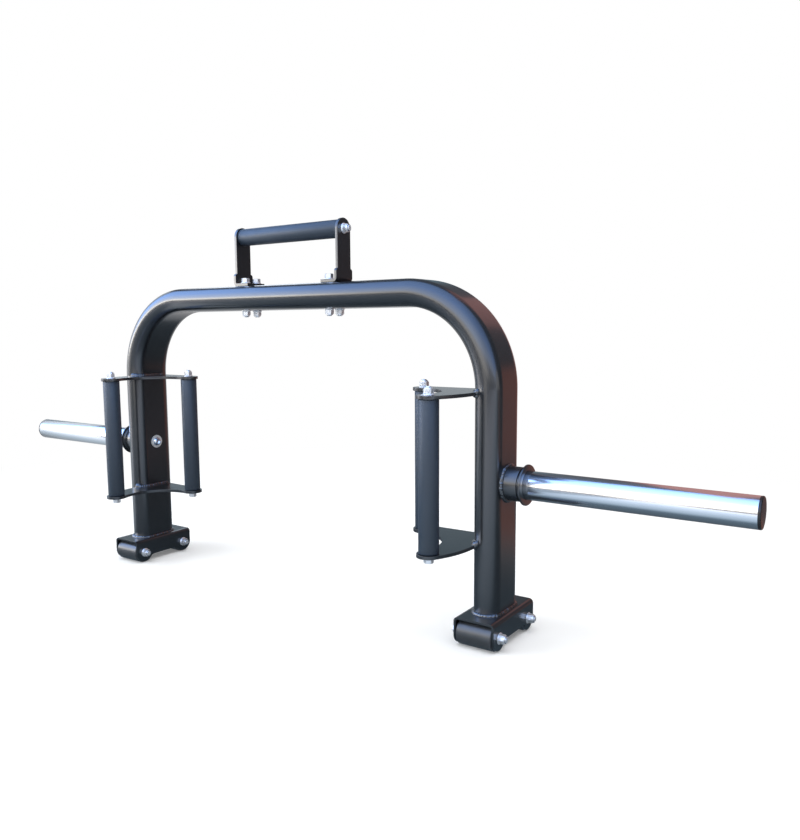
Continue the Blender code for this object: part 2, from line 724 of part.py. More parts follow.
def cap_outline():
    plug = TUBE_BORE - GAP
    return [
        (TUBE_END - CAP_PLUG, plug),
        (TUBE_END + GAP, plug),
        (TUBE_END + GAP, SLEEVE_RADIUS),
        (SLEEVE_END - CAP_CHAMFER, SLEEVE_RADIUS),
        (SLEEVE_END, SLEEVE_RADIUS - CAP_CHAMFER),
    ]


def make_sleeves(materials):
    for name, side in SIDES.items():
        place = (side * LEG_X, 0.0, SLEEVE_HEIGHT)
        turn = out_along_x(side)
        stem = name + "_sleeve_"
        pieces = (
            ("boss", turned(boss_outline(), FINE_SIDES, closed=True), "powder_coat"),
            ("shaft", turned(shaft_outline(), FINE_SIDES), "steel"),
            ("tube", turned(tube_outline(), FINE_SIDES, closed=True), "chrome"),
            ("collar", turned(collar_outline(), FINE_SIDES, closed=True), "powder_coat"),
            ("inner_bush", turned(bush_outline(SLEEVE_START + GAP, SLEEVE_START + BUSH_LENGTH),
                                  FINE_SIDES, closed=True), "bronze"),
            ("outer_bush", turned(bush_outline(OUTER_BUSH_END - BUSH_LENGTH, OUTER_BUSH_END),
                                  FINE_SIDES, closed=True), "bronze"),
            ("end_cap", turned(cap_outline(), FINE_SIDES), "nylon"),
        )
        for piece, bm, material in pieces:
            make_object(stem + piece, bm, materials[material], place, turn)
        seat = (side * (LEG_X - TUBE_HALF), 0.0, SLEEVE_HEIGHT)
        depth = TUBE_WALL + M16_THREAD_DEPTH - HOLE_CLEARANCE
        make_object(stem + "bolt", sleeve_bolt_shape(depth), materials["zinc"], seat, turn)


def main():
    clear_scene()
    materials = make_materials()
    nut = make_mesh("flange_nut", nut_shape(), materials["zinc"])
    make_arch(materials["powder_coat"])
    make_handles(materials, nut)
    make_carry_handle(materials, nut)
    make_feet(materials, nut)
    make_sleeves(materials)

    footprint = bpy.data.objects.new("footprint_centre", None)
    footprint.location = (0.0, ARCH_Y, 0.0)
    bpy.context.collection.objects.link(footprint)
    for thing in bpy.data.objects:
        if thing is not footprint:
            thing.parent = footprint


main()
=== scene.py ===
# Open-ended trap bar: the finish of every piece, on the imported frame
import bpy
from math import acos, atan2, cos, pi, radians, sin, sqrt
from random import Random
from mathutils import Matrix, Vector


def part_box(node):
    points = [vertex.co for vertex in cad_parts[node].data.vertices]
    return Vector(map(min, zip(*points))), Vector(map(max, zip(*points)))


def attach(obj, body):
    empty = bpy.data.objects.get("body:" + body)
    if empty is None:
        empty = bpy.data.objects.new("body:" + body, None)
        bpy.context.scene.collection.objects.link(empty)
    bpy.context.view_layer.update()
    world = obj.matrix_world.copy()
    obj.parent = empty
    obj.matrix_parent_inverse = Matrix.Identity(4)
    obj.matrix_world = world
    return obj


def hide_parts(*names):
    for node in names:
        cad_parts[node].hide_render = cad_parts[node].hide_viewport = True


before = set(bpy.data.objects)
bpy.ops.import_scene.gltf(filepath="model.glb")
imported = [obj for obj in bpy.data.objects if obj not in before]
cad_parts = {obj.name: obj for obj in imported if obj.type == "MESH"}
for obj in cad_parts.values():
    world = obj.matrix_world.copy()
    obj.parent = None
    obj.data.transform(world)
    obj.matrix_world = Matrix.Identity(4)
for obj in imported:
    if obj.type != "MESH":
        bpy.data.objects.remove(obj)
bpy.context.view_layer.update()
sides = {"left": -1, "right": 1}
rows = ("front", "rear")
alongX = Vector((1, 0, 0))
up = Vector((0, 0, 1))
samePoint = 1e-6            # points closer than this are merged
smoothAngle = 30            # degrees; sharper edges stay sharp in the shading
print("frame loaded,", len(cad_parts), "nodes")


# Camera where the photograph was taken from
camera = {"place": (1.0838, -1.1655, 0.5516), "yaw": 34.19, "pitch": -6.81, "roll": -0.31, "lens": 33.37}


def aimCamera():
    yaw, pitch, roll = (radians(camera[key]) for key in ("yaw", "pitch", "roll"))
    ahead = Vector((-sin(yaw) * cos(pitch), cos(yaw) * cos(pitch), sin(pitch)))
    flatRight = Vector((cos(yaw), sin(yaw), 0))
    flatUp = flatRight.cross(ahead)
    right = cos(roll) * flatRight + sin(roll) * flatUp
    top = cos(roll) * flatUp - sin(roll) * flatRight
    bpy.ops.object.camera_add(location=camera["place"])
    eye = bpy.context.object
    eye.rotation_euler = Matrix((right, top, -ahead)).transposed().to_euler()
    eye.data.lens = camera["lens"]
    eye.data.sensor_width = 36
    bpy.context.scene.camera = eye
    bpy.context.scene.view_settings.view_transform = "Standard"


# Selecting and finishing, as by hand
def clearSelection():
    if bpy.context.object and bpy.context.object.mode == "EDIT":
        bpy.ops.object.mode_set(mode="OBJECT")
    bpy.ops.object.select_all(action="DESELECT")


def only(piece):
    clearSelection()
    piece.select_set(True)
    bpy.context.view_layer.objects.active = piece


def editAll(piece):
    only(piece)
    bpy.ops.object.mode_set(mode="EDIT")
    bpy.ops.mesh.select_all(action="SELECT")


def modify(piece, kind, **settings):
    only(piece)
    step = piece.modifiers.new(kind.lower(), kind)
    for key, value in settings.items():
        setattr(step, key, value)
    bpy.ops.object.modifier_apply(modifier=step.name)


def combine(piece, tool, how):
    # DIFFERENCE, UNION or INTERSECT with a tool that is then thrown away
    modify(piece, "BOOLEAN", operation=how, object=tool)
    bpy.data.objects.remove(tool)


def softenEdges(piece, width, steps=2, angle=40):
    modify(piece, "BEVEL", width=width, segments=steps, limit_method="ANGLE", angle_limit=radians(angle))


def startPrimitive(add, name, stretch=(1, 1, 1), **how):
    clearSelection()
    add(**how)
    piece = bpy.context.object
    piece.name = name
    piece.scale = stretch
    bpy.ops.object.transform_apply(location=True, rotation=True, scale=True)
    return piece


def finish(piece, body, stuff, stands=(), smooth=smoothAngle):
    # shades a piece, gives it its material and seats it on the frame
    if smooth:
        only(piece)
        bpy.ops.object.shade_smooth_by_angle(angle=radians(smooth))
    piece.data.materials.clear()
    piece.data.materials.append(stuff)
    if stands:
        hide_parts(*stands)
    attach(piece, body)
    return piece


def copyTo(master, name, place):
    piece = master.copy()
    piece.data = master.data.copy()
    piece.name = name
    piece.data.name = name
    piece.data.transform(place)
    bpy.context.collection.objects.link(piece)
    return piece


# A pen that draws an outline: one vertex, pulled along lines and round arcs
def startPen(name, point):
    pen = startPrimitive(bpy.ops.mesh.primitive_plane_add, name, size=0.001)
    pen.data.transform(Matrix.Translation(point))
    editAll(pen)
    bpy.ops.mesh.merge(type="CENTER")
    return pen


def lineBy(*step):
    bpy.ops.mesh.extrude_region_move(TRANSFORM_OT_translate={"value": step})


def arcBy(centre, axis, degrees, steps):
    # positive turns follow the right-hand rule, which the operator reverses
    bpy.ops.mesh.spin(steps=steps, angle=-radians(degrees), center=centre, axis=axis)


def mergePoints():
    bpy.ops.mesh.select_all(action="SELECT")
    bpy.ops.mesh.remove_doubles(threshold=samePoint)


def endEditing():
    # turns every face outwards and goes back to object mode
    bpy.ops.mesh.select_all(action="SELECT")
    bpy.ops.mesh.normals_make_consistent(inside=False)
    bpy.ops.object.mode_set(mode="OBJECT")


def turnOutline(centre, axis, steps):
    bpy.ops.mesh.select_all(action="SELECT")
    bpy.ops.mesh.spin(steps=steps, angle=2 * pi, center=centre, axis=axis)
    mergePoints()
    endEditing()


def turned(name, outline, start=(0, 0, 0), axis=up, steps=64):
    # lathe work: outline is a row of (distance along the axis, radius), closed for a piece with a bore
    axis = Vector(axis)
    across = Vector((0, 1, 0))
    spots = [Vector(start) + along * axis + radius * across for along, radius in outline]
    pen = startPen(name, spots[0])
    for near, far in zip(spots, spots[1:]):
        lineBy(*(far - near))
    turnOutline(start, axis, steps)
    return pen


def ringOutline(outline):
    return [*outline, outline[0]]


def roundedCorner(along, radius, cut, way, middle=(0.3, 0.3)):
    # three points in place of a sharp corner; way is 1 where the outline leaves along the axis,
    # and middle places the second point, in shares of the cut along the axis and down from the radius
    spots = [(along, radius - cut), (along + middle[0] * cut * way, radius - middle[1] * cut),
             (along + cut * way, radius)]
    return spots if way > 0 else spots[::-1]


def wrapUv(piece, centre, axis):
    # UV in metres: u round the piece, v along it
    axis = Vector(axis)
    across = Vector((0, 1, 0))
    third = axis.cross(across)
    layer = piece.data.uv_layers.new(name="wrap")
    for face in piece.data.polygons:
        rel = [piece.data.vertices[i].co - Vector(centre) for i in face.vertices]
        radius = sum((r - r.dot(axis) * axis).length for r in rel) / len(rel)
        turns = [atan2(r.dot(third), r.dot(across)) for r in rel]
        turns = [t + 2 * pi if t < turns[0] - pi else t - 2 * pi if t > turns[0] + pi else t for t in turns]
        for loop, r, t in zip(face.loop_indices, rel, turns):
            layer.data[loop].uv = (t * radius, r.dot(axis))


# Shader maths: a socket with operators, and one method for every other node
class Link:
    def __init__(self, tree, socket):
        self.tree = tree
        self.socket = socket

    def add(self, kind, settings=None, out=0, **values):
        node = self.tree.nodes.new(kind)
        for key, value in (settings or {}).items():
            if key == "stops":
                while len(node.color_ramp.elements) < len(value):
                    node.color_ramp.elements.new(1.0)
                for element, (spot, colour) in zip(node.color_ramp.elements, value):
                    element.position = spot
                    element.color = (*colour, 1) if len(colour) == 3 else colour
            else:
                setattr(node, key, value)
        for key, value in values.items():
            place = int(key[1:]) if key[0] == "i" and key[1:].isdigit() else key.replace("_", " ")
            if isinstance(value, Link):
                self.tree.links.new(value.socket, node.inputs[place])
            else:
                node.inputs[place].default_value = value
        return Link(self.tree, node.outputs[out])

    def maths(self, how, other=None, third=None):
        values = {"i0": self}
        if other is not None:
            values["i1"] = other
        if third is not None:
            values["i2"] = third
        return self.add("ShaderNodeMath", {"operation": how}, **values)

    def reflected(self, how, other):
        return self.add("ShaderNodeMath", {"operation": how}, i0=other, i1=self)

    def __add__(self, other):
        return self.maths("ADD", other)

    def __radd__(self, other):
        return self.reflected("ADD", other)

    def __sub__(self, other):
        return self.maths("SUBTRACT", other)

    def __rsub__(self, other):
        return self.reflected("SUBTRACT", other)

    def __mul__(self, other):
        return self.maths("MULTIPLY", other)

    def __rmul__(self, other):
        return self.reflected("MULTIPLY", other)

    def __truediv__(self, other):
        return self.maths("DIVIDE", other)


def newMaterial(name, look):
    # constants come from the look; what varies over the surface is fed in afterwards
    stuff = bpy.data.materials.new(name)
    stuff.use_nodes = True
    tree = stuff.node_tree
    shader = tree.nodes["Principled BSDF"]
    for socket, key, plain in (("Roughness", "roughness", 0.5), ("Metallic", "metallic", 0.0),
                               ("Coat Weight", "coat", 0.0), ("Coat Roughness", "coatRoughness", 0.1),
                               ("IOR", "ior", 1.5)):
        shader.inputs[socket].default_value = look.get(key, plain)
    place = tree.nodes.new("ShaderNodeTexCoord")
    return stuff, shader, Link(tree, place.outputs["Object"]), Link(tree, place.outputs["UV"])


def feed(link, shader, name):
    link.tree.links.new(link.socket, shader.inputs[name])


def mixColours(share, first, second):
    node = share.tree.nodes.new("ShaderNodeMix")
    node.data_type = "RGBA"
    share.tree.links.new(share.socket, node.inputs["Factor"])
    for place, colour in ((6, first), (7, second)):
        if isinstance(colour, Link):
            share.tree.links.new(colour.socket, node.inputs[place])
        else:
            node.inputs[place].default_value = (*colour, 1)
    return Link(share.tree, node.outputs[2])


def noise(place, scale, detail=3.0, roughness=0.55):
    return place.add("ShaderNodeTexNoise", Vector=place, Scale=scale, Detail=detail, Roughness=roughness)


def bump(height, strength, distance):
    return height.add("ShaderNodeBump", Height=height, Strength=strength, Distance=distance)


def tint(shader, share, look):
    feed(mixColours(share, look["dark"], look["pale"]), shader, "Base Color")


def wrapParts(wrap):
    parts = wrap.add("ShaderNodeSeparateXYZ", Vector=wrap)
    return parts, Link(parts.tree, parts.socket.node.outputs[1])


# Powder coat: soft clouds of tone under a clear gloss with a fine orange peel
powderLook = {"dark": (0.0048, 0.0062, 0.0082), "pale": (0.0080, 0.0100, 0.0130), "cloudScale": 9,
              "detail": 4, "smoothest": 0.25, "sway": 0.10, "coat": 1.0, "coatRoughness": 0.13, "ior": 1.65,
              "peelScale": 520, "peelRoughness": 0.4, "fineScale": 1900, "fineShare": 0.3,
              "peelStrength": 0.25, "peelDepth": 0.00006}


def makePowder():
    look = powderLook
    stuff, shader, place, _ = newMaterial("satin black powder coat", look)
    cloud = noise(place, look["cloudScale"], look["detail"])
    tint(shader, cloud, look)
    feed(cloud * look["sway"] + look["smoothest"], shader, "Roughness")
    peel = noise(place, look["peelScale"], 2, look["peelRoughness"])
    peel = peel + noise(place, look["fineScale"], 1) * look["fineShare"]
    feed(bump(peel, look["peelStrength"], look["peelDepth"]), shader, "Normal")
    return stuff


# Grip coat: a diamond knurl, with painted shade darkening its grooves against paler points; the pitch follows
# the tube's radius
gripRadius = 0.0175
gripLook = {"dark": (0.012, 0.022, 0.036), "pale": (0.042, 0.066, 0.100), "ior": 1.6, "diamonds": 68,
            "wornScale": 34, "wornDetail": 4, "grainScale": 1500, "grainDetail": 2,
            "pointCap": 0.8, "pointSoftness": 0.3, "pointTone": 0.75, "grainTone": 0.35,
            "smoothest": 0.35, "wornSway": 0.16, "grainSway": 0.1,
            "grainHeight": 0.25, "strength": 0.9, "depth": 0.00016}


def makeGripCoat():
    look = gripLook
    stuff, shader, place, wrap = newMaterial("knurled grip coat", look)
    u, v = wrapParts(wrap)
    pitch = 2 * pi * gripRadius / look["diamonds"]
    one = ((u + v) / pitch).maths("PINGPONG", 0.5) * 2
    two = ((u - v) / pitch).maths("PINGPONG", 0.5) * 2
    diamond = one.maths("MINIMUM", two)
    worn = noise(place, look["wornScale"], look["wornDetail"])
    grain = noise(place, look["grainScale"], look["grainDetail"])
    points = diamond.maths("SMOOTH_MIN", look["pointCap"], look["pointSoftness"])
    # painted shade: the tone follows the knurl's height, dark in the grooves and paler on the points
    tint(shader, points * look["pointTone"] + grain * look["grainTone"], look)
    feed(worn * look["wornSway"] + grain * look["grainSway"] + look["smoothest"], shader, "Roughness")
    feed(bump(diamond + grain * look["grainHeight"], look["strength"], look["depth"]), shader, "Normal")
    return stuff


# Chrome: a faint film, turning lines round the sleeve and scuffs along it, where plates slide
chromeLook = {"dark": (0.88, 0.89, 0.91), "pale": (0.95, 0.95, 0.96), "metallic": 1.0,
              "filmScale": 14, "filmDetail": 5, "lines": (90, 2600, 1), "scuffs": (1900, 16, 1),
              "scuffStart": 0.66, "smoothest": 0.16, "filmSway": 0.05, "scuffSway": 0.05,
              "lineStrength": 0.45, "lineDepth": 0.00002}


def makeChrome():
    look = chromeLook
    stuff, shader, place, wrap = newMaterial("chrome plate", look)
    film = noise(place, look["filmScale"], look["filmDetail"])
    turning = noise(wrap.add("ShaderNodeMapping", Vector=wrap, Scale=look["lines"]), 1.0, 2)
    scuffs = noise(wrap.add("ShaderNodeMapping", Vector=wrap, Scale=look["scuffs"]), 1.0, 3)
    slid = scuffs.maths("GREATER_THAN", look["scuffStart"])
    tint(shader, film, look)
    feed(film * look["filmSway"] + slid * look["scuffSway"] + look["smoothest"], shader, "Roughness")
    feed(bump(turning, look["lineStrength"], look["lineDepth"]), shader, "Normal")
    return stuff


# Roller nylon: fine ridges round the roller, as a lathe leaves them
rollerLook = {"dark": (0.028, 0.031, 0.035), "pale": (0.045, 0.048, 0.054), "ior": 1.75, "cloudScale": 60,
              "detail": 4, "smoothest": 0.27, "sway": 0.14, "ridgePitch": 0.00042, "grainScale": 900,
              "strength": 0.25, "depth": 0.00003}


def makeRollerNylon():
    look = rollerLook
    stuff, shader, place, wrap = newMaterial("turned black nylon", look)
    _, v = wrapParts(wrap)
    ridges = (v / look["ridgePitch"]).maths("PINGPONG", 0.5)
    cloud = noise(place, look["cloudScale"], look["detail"])
    tint(shader, cloud, look)
    feed(cloud * look["sway"] + look["smoothest"], shader, "Roughness")
    ridges = ridges + noise(place, look["grainScale"], 2)
    feed(bump(ridges, look["strength"], look["depth"]), shader, "Normal")
    return stuff


# Plain finishes: clouds of tone and gloss, and a fine grain where the look has one
weldCoatLook = {"dark": powderLook["dark"], "pale": powderLook["pale"], "cloudScale": 40, "detail": 4,
                "smoothest": 0.17, "sway": 0.10, "coat": 1.0, "coatRoughness": 0.05, "ior": 1.9,
                "grainScale": 1400, "strength": 0.12, "depth": 0.00004}
zincLook = {"dark": (0.76, 0.79, 0.83), "pale": (0.90, 0.92, 0.95), "metallic": 0.70, "cloudScale": 260,
            "detail": 4, "smoothest": 0.25, "sway": 0.18, "grainScale": 2400, "strength": 0.15,
            "depth": 0.00003}
polishedZincLook = {"dark": (0.80, 0.83, 0.88), "pale": (0.94, 0.95, 0.97), "metallic": 1.0,
                    "cloudScale": 320, "detail": 4, "smoothest": 0.14, "sway": 0.10, "grainScale": 2600,
                    "strength": 0.12, "depth": 0.00003}
washerLook = {"dark": (0.62, 0.64, 0.65), "pale": (0.78, 0.80, 0.81), "metallic": 0.5, "cloudScale": 300,
              "detail": 4, "smoothest": 0.36, "sway": 0.2}
capLook = {"dark": (0.011, 0.010, 0.011), "pale": (0.020, 0.018, 0.019), "cloudScale": 45, "detail": 4,
           "smoothest": 0.22, "sway": 0.12, "grainScale": 1300, "strength": 0.15, "depth": 0.00004}
nylonRingLook = {"dark": (0.035, 0.070, 0.135), "pale": (0.060, 0.105, 0.180), "cloudScale": 700, "detail": 2,
                 "roughness": 0.4}
steelLook = {"dark": (0.36, 0.36, 0.37), "pale": (0.50, 0.50, 0.51), "metallic": 1.0, "cloudScale": 120,
             "detail": 4, "smoothest": 0.24, "sway": 0.15}
bronzeLook = {"dark": (0.34, 0.20, 0.08), "pale": (0.60, 0.40, 0.19), "metallic": 1.0, "cloudScale": 1400,
              "detail": 3, "smoothest": 0.3, "sway": 0.2}


def makePlain(name, look):
    stuff, shader, place, _ = newMaterial(name, look)
    cloud = noise(place, look["cloudScale"], look["detail"])
    tint(shader, cloud, look)
    if "sway" in look:
        feed(cloud * look["sway"] + look["smoothest"], shader, "Roughness")
    if "grainScale" in look:
        feed(bump(noise(place, look["grainScale"], 2), look["strength"], look["depth"]), shader, "Normal")
    return stuff


powder = makePowder()
weldCoat = makePlain("powder coat over weld", weldCoatLook)
gripCoat = makeGripCoat()
chrome = makeChrome()
zinc = makePlain("bright zinc", zincLook)
polishedZinc = makePlain("polished zinc head", polishedZincLook)
washerZinc = makePlain("dull zinc washer", washerLook)
rollerNylon = makeRollerNylon()
capPlastic = makePlain("moulded black cap", capLook)
nylonRing = makePlain("blue nylon ring", nylonRingLook)
groundSteel = makePlain("ground steel", steelLook)
bronze = makePlain("sintered bronze", bronzeLook)
print("materials made")


# Measures that several pieces share, read off the frame
def middle(node):
    low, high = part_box(node)
    return (low + high) / 2


archLow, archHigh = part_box("arch_tube")
tubeDepth = archHigh.y - archLow.y
tubeThick = 0.050
tubeHalf = tubeThick / 2
noseY = tubeDepth / 2 - tubeHalf
legX = archHigh.x - tubeHalf
archY = middle("arch_tube").y
barHeight = archHigh.z - tubeHalf
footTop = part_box("left_foot_channel")[1].z
sleeveHeight = middle("right_sleeve_shaft").z
gap = 0.0003                # clearance that the frame keeps between touching pieces
boltHole = 0.0055           # radius
throughSheet = 0.02         # half length of a tool that cuts through a sheet or a nut
faceOn = Matrix(((0, 0, 1, 0), (1, 0, 0, 0), (0, 1, 0, 0), (0, 0, 0, 1)))        # drawing plane to YZ
standing = Matrix.Rotation(radians(90), 4, "X")                                  # drawing plane to XZ
alongSleeve = Matrix(((0, 0, 1, 0), (0, 1, 0, 0), (-1, 0, 0, 0), (0, 0, 0, 1)))  # local Z to X


def pieceName(node):
    first, *others = node.split("_")
    return first + "".join(word.title() for word in others)


def rodTool(radius, start, end):
    start, end = Vector(start), Vector(end)
    run = end - start
    return turned("holeTool", [(0, 0), (0, radius), (run.length, radius), (run.length, 0)], start,
                  run.normalized(), 40)


def drill(piece, radius, centre, axis, reach):
    centre, axis = Vector(centre), Vector(axis)
    combine(piece, rodTool(radius, centre - reach * axis, centre + reach * axis), "DIFFERENCE")


def evenNormals(piece):
    # keeps wide flats looking flat beside rounded edges
    only(piece)
    bpy.ops.object.shade_smooth_by_angle(angle=radians(smoothAngle))
    modify(piece, "WEIGHTED_NORMAL", keep_sharp=True, weight=100)


def finishCoated(piece, node, edgeRound=0):
    # a tube or sheet of the frame, whose cut edges are rounded first
    if edgeRound:
        softenEdges(piece, edgeRound)
    evenNormals(piece)
    finish(piece, "frame", powder, [node], smooth=None)


def drawFlat(name, start, moves, thick):
    # outline in the drawing plane, then thickened towards +Z
    # a move is a point, or an arc as (centre, degrees, steps)
    pen = startPen(name, (*start, 0))
    spot = Vector((*start, 0))
    for move in moves:
        if len(move) == 2:
            goal = Vector((*move, 0))
            lineBy(*(goal - spot))
        else:
            centre, turn, steps = move
            centre = Vector((*centre, 0))
            arcBy(centre, (0, 0, 1), turn, steps)
            goal = centre + Matrix.Rotation(radians(turn), 3, "Z") @ (spot - centre)
        spot = goal
    mergePoints()
    bpy.ops.mesh.edge_face_add()
    lineBy(0, 0, thick)
    endEditing()
    return pen


def put(piece, place):
    piece.data.transform(place)
    if place.determinant() < 0:
        editAll(piece)
        endEditing()
    return piece


def bearing(centre, point):
    return atan2(point[1] - centre[1], point[0] - centre[0])


def sweep(centre, near, far, laps=0):
    return 360 * laps + (bearing(centre, far) - bearing(centre, near)) * 180 / pi


# Arch: a flat-oval tube, spun round both bends
arch = {"wall": 0.003, "bendRadius": 0.169, "noseSteps": 18, "bendSteps": 40, "spigotHole": 0.0193,
        "sleeveBoltHole": 0.0085, "throughWall": 0.012}


def makeArch():
    tube = startPrimitive(bpy.ops.mesh.primitive_plane_add, "archTube", (tubeThick, tubeDepth, 1), size=1)
    tube.data.transform(Matrix.Translation((legX, archY, archLow.z)))
    editAll(tube)
    bpy.ops.mesh.bevel(offset=tubeHalf, segments=arch["noseSteps"], affect="VERTICES")
    mergePoints()
    bpy.ops.mesh.delete(type="ONLY_FACE")
    bpy.ops.mesh.select_all(action="SELECT")
    bendX = legX - arch["bendRadius"]
    bendZ = barHeight - arch["bendRadius"]
    lineBy(0, 0, bendZ - archLow.z)
    arcBy((bendX, archY, bendZ), (0, -1, 0), 90, arch["bendSteps"])
    lineBy(-2 * bendX, 0, 0)
    arcBy((-bendX, archY, bendZ), (0, -1, 0), 90, arch["bendSteps"])
    lineBy(0, 0, archLow.z - bendZ)
    endEditing()
    modify(tube, "SOLIDIFY", thickness=arch["wall"], offset=-1.0, use_even_offset=True)
    for name, side in sides.items():
        for hole, wallX in (("spigotHole", legX + tubeHalf), ("sleeveBoltHole", legX - tubeHalf)):
            drill(tube, arch[hole], (side * wallX, archY, sleeveHeight), alongX, arch["throughWall"])
        for row in rows:
            spot = middle(f"{name}_{row}_crossbar_bolt")
            drill(tube, boltHole, (spot.x, spot.y, barHeight), up, tubeThick)
    finishCoated(tube, "arch_tube")


makeArch()
print("arch made")


# Feet: a folded channel with a lobe at each axle, and its two rollers
foot = {"width": 0.078, "sheet": 0.004, "innerBend": 0.004, "floorGap": 0.0019, "edgeLift": 0.015,
        "edgeFillet": 0.012, "drainHole": 0.002, "drainAcross": 0.041, "drainHeight": 0.013,
        "edgeRound": 0.0011, "outerSteps": 10, "innerSteps": 8, "filletSteps": 10, "lobeSteps": 28}
roller = {"chamfer": 0.0016, "chamferMiddle": (0.3, 0.5), "bore": 0.0053, "sides": 96}
axle = middle("right_rear_roller")
axleOffset = axle.y - archY


def foldedChannel(name, side):
    # longer than the foot, whose side view then cuts it to shape
    half, sheet, inner = foot["width"] / 2, foot["sheet"], foot["innerBend"]
    outer = inner + sheet
    foldX, foldZ, low = half - outer, footTop - outer, -sheet
    outerSteps, innerSteps = foot["outerSteps"], foot["innerSteps"]
    length = 4 * (axleOffset + axle.z)
    channel = drawFlat(pieceName(name + "_foot_channel"), (-half, low), [
        (-half, foldZ), ((-foldX, foldZ), -90, outerSteps),
        (foldX, footTop), ((foldX, foldZ), -90, outerSteps),
        (half, low), (half - sheet, low), (half - sheet, foldZ), ((foldX, foldZ), 90, innerSteps),
        (-foldX, footTop - sheet), ((-foldX, foldZ), 90, innerSteps), (-half + sheet, low)], length)
    return put(channel, Matrix.Translation((side * legX, archY + length / 2, 0)) @ standing)


def footSideView(side):
    # a lobe round each axle, with a fillet up to the raised edge between them
    sheet = foot["sheet"]
    lobe = axle.z - foot["floorGap"]
    filletZ = foot["edgeLift"] - foot["edgeFillet"]
    reach = lobe + foot["edgeFillet"]
    filletY = axleOffset - sqrt(reach ** 2 - (filletZ - axle.z) ** 2)
    hub, fillet = (axleOffset, axle.z), (filletY, filletZ)
    rise = bearing(fillet, hub) * 180 / pi - 90
    lobeTurn = -bearing(hub, fillet) * 180 / pi
    filletSteps, lobeSteps = foot["filletSteps"], foot["lobeSteps"]
    shape = drawFlat("footShape", (filletY, foot["edgeLift"]), [
        (fillet, rise, filletSteps), (hub, lobeTurn, lobeSteps), (axleOffset + lobe, footTop + sheet),
        (-axleOffset - lobe, footTop + sheet), (-axleOffset - lobe, axle.z),
        ((-axleOffset, axle.z), lobeTurn, lobeSteps), ((-filletY, filletZ), rise, filletSteps)],
        2 * foot["width"])
    return put(shape, Matrix.Translation((side * legX - foot["width"], archY, 0)) @ faceOn)


def makeFoot(name, side):
    channel = foldedChannel(name, side)
    combine(channel, footSideView(side), "INTERSECT")
    for row in rows:
        drill(channel, boltHole, middle(f"{name}_{row}_roller"), alongX, foot["width"])
    outside = (side * (legX + foot["width"] / 2), archY + foot["drainAcross"], foot["drainHeight"])
    drill(channel, foot["drainHole"], outside, alongX, 2 * foot["sheet"])
    finishCoated(channel, name + "_foot_channel", foot["edgeRound"])


def makeRollers():
    low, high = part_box("right_rear_roller")
    half = (high.x - low.x) / 2
    corner = (axle.z, roller["chamfer"])
    master = turned("rollerMaster", ringOutline([
        (-half, roller["bore"]), *roundedCorner(-half, *corner, 1, roller["chamferMiddle"]),
        *roundedCorner(half, *corner, -1, roller["chamferMiddle"]), (half, roller["bore"])]),
        axis=alongX, steps=roller["sides"])
    wrapUv(master, (0, 0, 0), alongX)
    for name in sides:
        for row in rows:
            node = f"{name}_{row}_roller"
            piece = copyTo(master, pieceName(node), Matrix.Translation(middle(node)))
            finish(piece, node, rollerNylon, [node])
    bpy.data.objects.remove(master)


for name, side in sides.items():
    makeFoot(name, side)
makeRollers()
print("feet and rollers made")


# Handle plates: two lobes for the grips, a round notch between them, welded round the leg's nose
plate = {"thick": 0.006, "lobeMargin": 0.0035, "notchOffset": 0.0476, "outerEdgeRadius": 0.175,
         "noseWrap": 59, "edgeRound": 0.0005, "lobeSteps": 26, "edgeSteps": 18, "noseSteps": 10}


def tangentPoint(point, centre, radius):
    reach = Vector(point) - Vector(centre)
    angle = atan2(reach.y, reach.x) + acos(radius / reach.length)
    return Vector(centre) + radius * Vector((cos(angle), sin(angle)))


def plateOutline():
    # seen from above, from the right leg's middle: the start on the leg, and the moves round the plate
    leg = Vector((legX, archY))
    low = middle("right_low_grip").xy - leg
    high = middle("right_high_grip").xy - leg
    lobe = gripRadius + plate["lobeMargin"]
    nose, noseRadius = Vector((0, -noseY)), tubeHalf + gap
    wrap = radians(plate["noseWrap"])
    corner = Vector((-noseRadius, noseY))
    stop = nose + noseRadius * Vector((-cos(wrap), -sin(wrap)))
    span = high - low
    notch = (low + high) / 2 + plate["notchOffset"] * Vector((span.y, -span.x)).normalized()
    between = stop - high
    radius = plate["outerEdgeRadius"]
    along = ((radius - lobe) ** 2 - radius ** 2 + between.length ** 2) / (2 * between.length)
    aside = sqrt((radius - lobe) ** 2 - along ** 2)
    ahead = between.normalized()
    edge = high + along * ahead + aside * Vector((-ahead.y, ahead.x))
    rear = tangentPoint(corner, low, lobe)
    lobeSteps = plate["lobeSteps"]
    return corner, [
        tuple(rear), (low, sweep(low, rear, notch, 1), lobeSteps),
        (notch, sweep(notch, low, high), lobeSteps),
        (high, sweep(high, notch, high + high - edge, 1), lobeSteps),
        (edge, sweep(edge, high, stop), plate["edgeSteps"]), (nose, -plate["noseWrap"], plate["noseSteps"])]


def makePlate(name, side, level):
    node = f"{name}_{level}_handle_plate"
    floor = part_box(node)[0].z
    piece = drawFlat(pieceName(node), *plateOutline(), plate["thick"])
    put(piece, Matrix.Translation((side * legX, archY, floor)) @ Matrix.Diagonal((side, 1, 1, 1)))
    for kind in ("low", "high"):
        drill(piece, boltHole, (*middle(f"{name}_{kind}_grip").xy, floor), up, throughSheet)
    finishCoated(piece, node, plate["edgeRound"])


for name, side in sides.items():
    for level in ("lower", "upper"):
        makePlate(name, side, level)
print("handle plates made")


# Grips: knurled tubes between the plates and on the carry handle
grip = {"wall": 0.004, "sides": 72, "edge": 0.0012, "edgeMiddle": (0.3, 0.35), "smooth": 40}


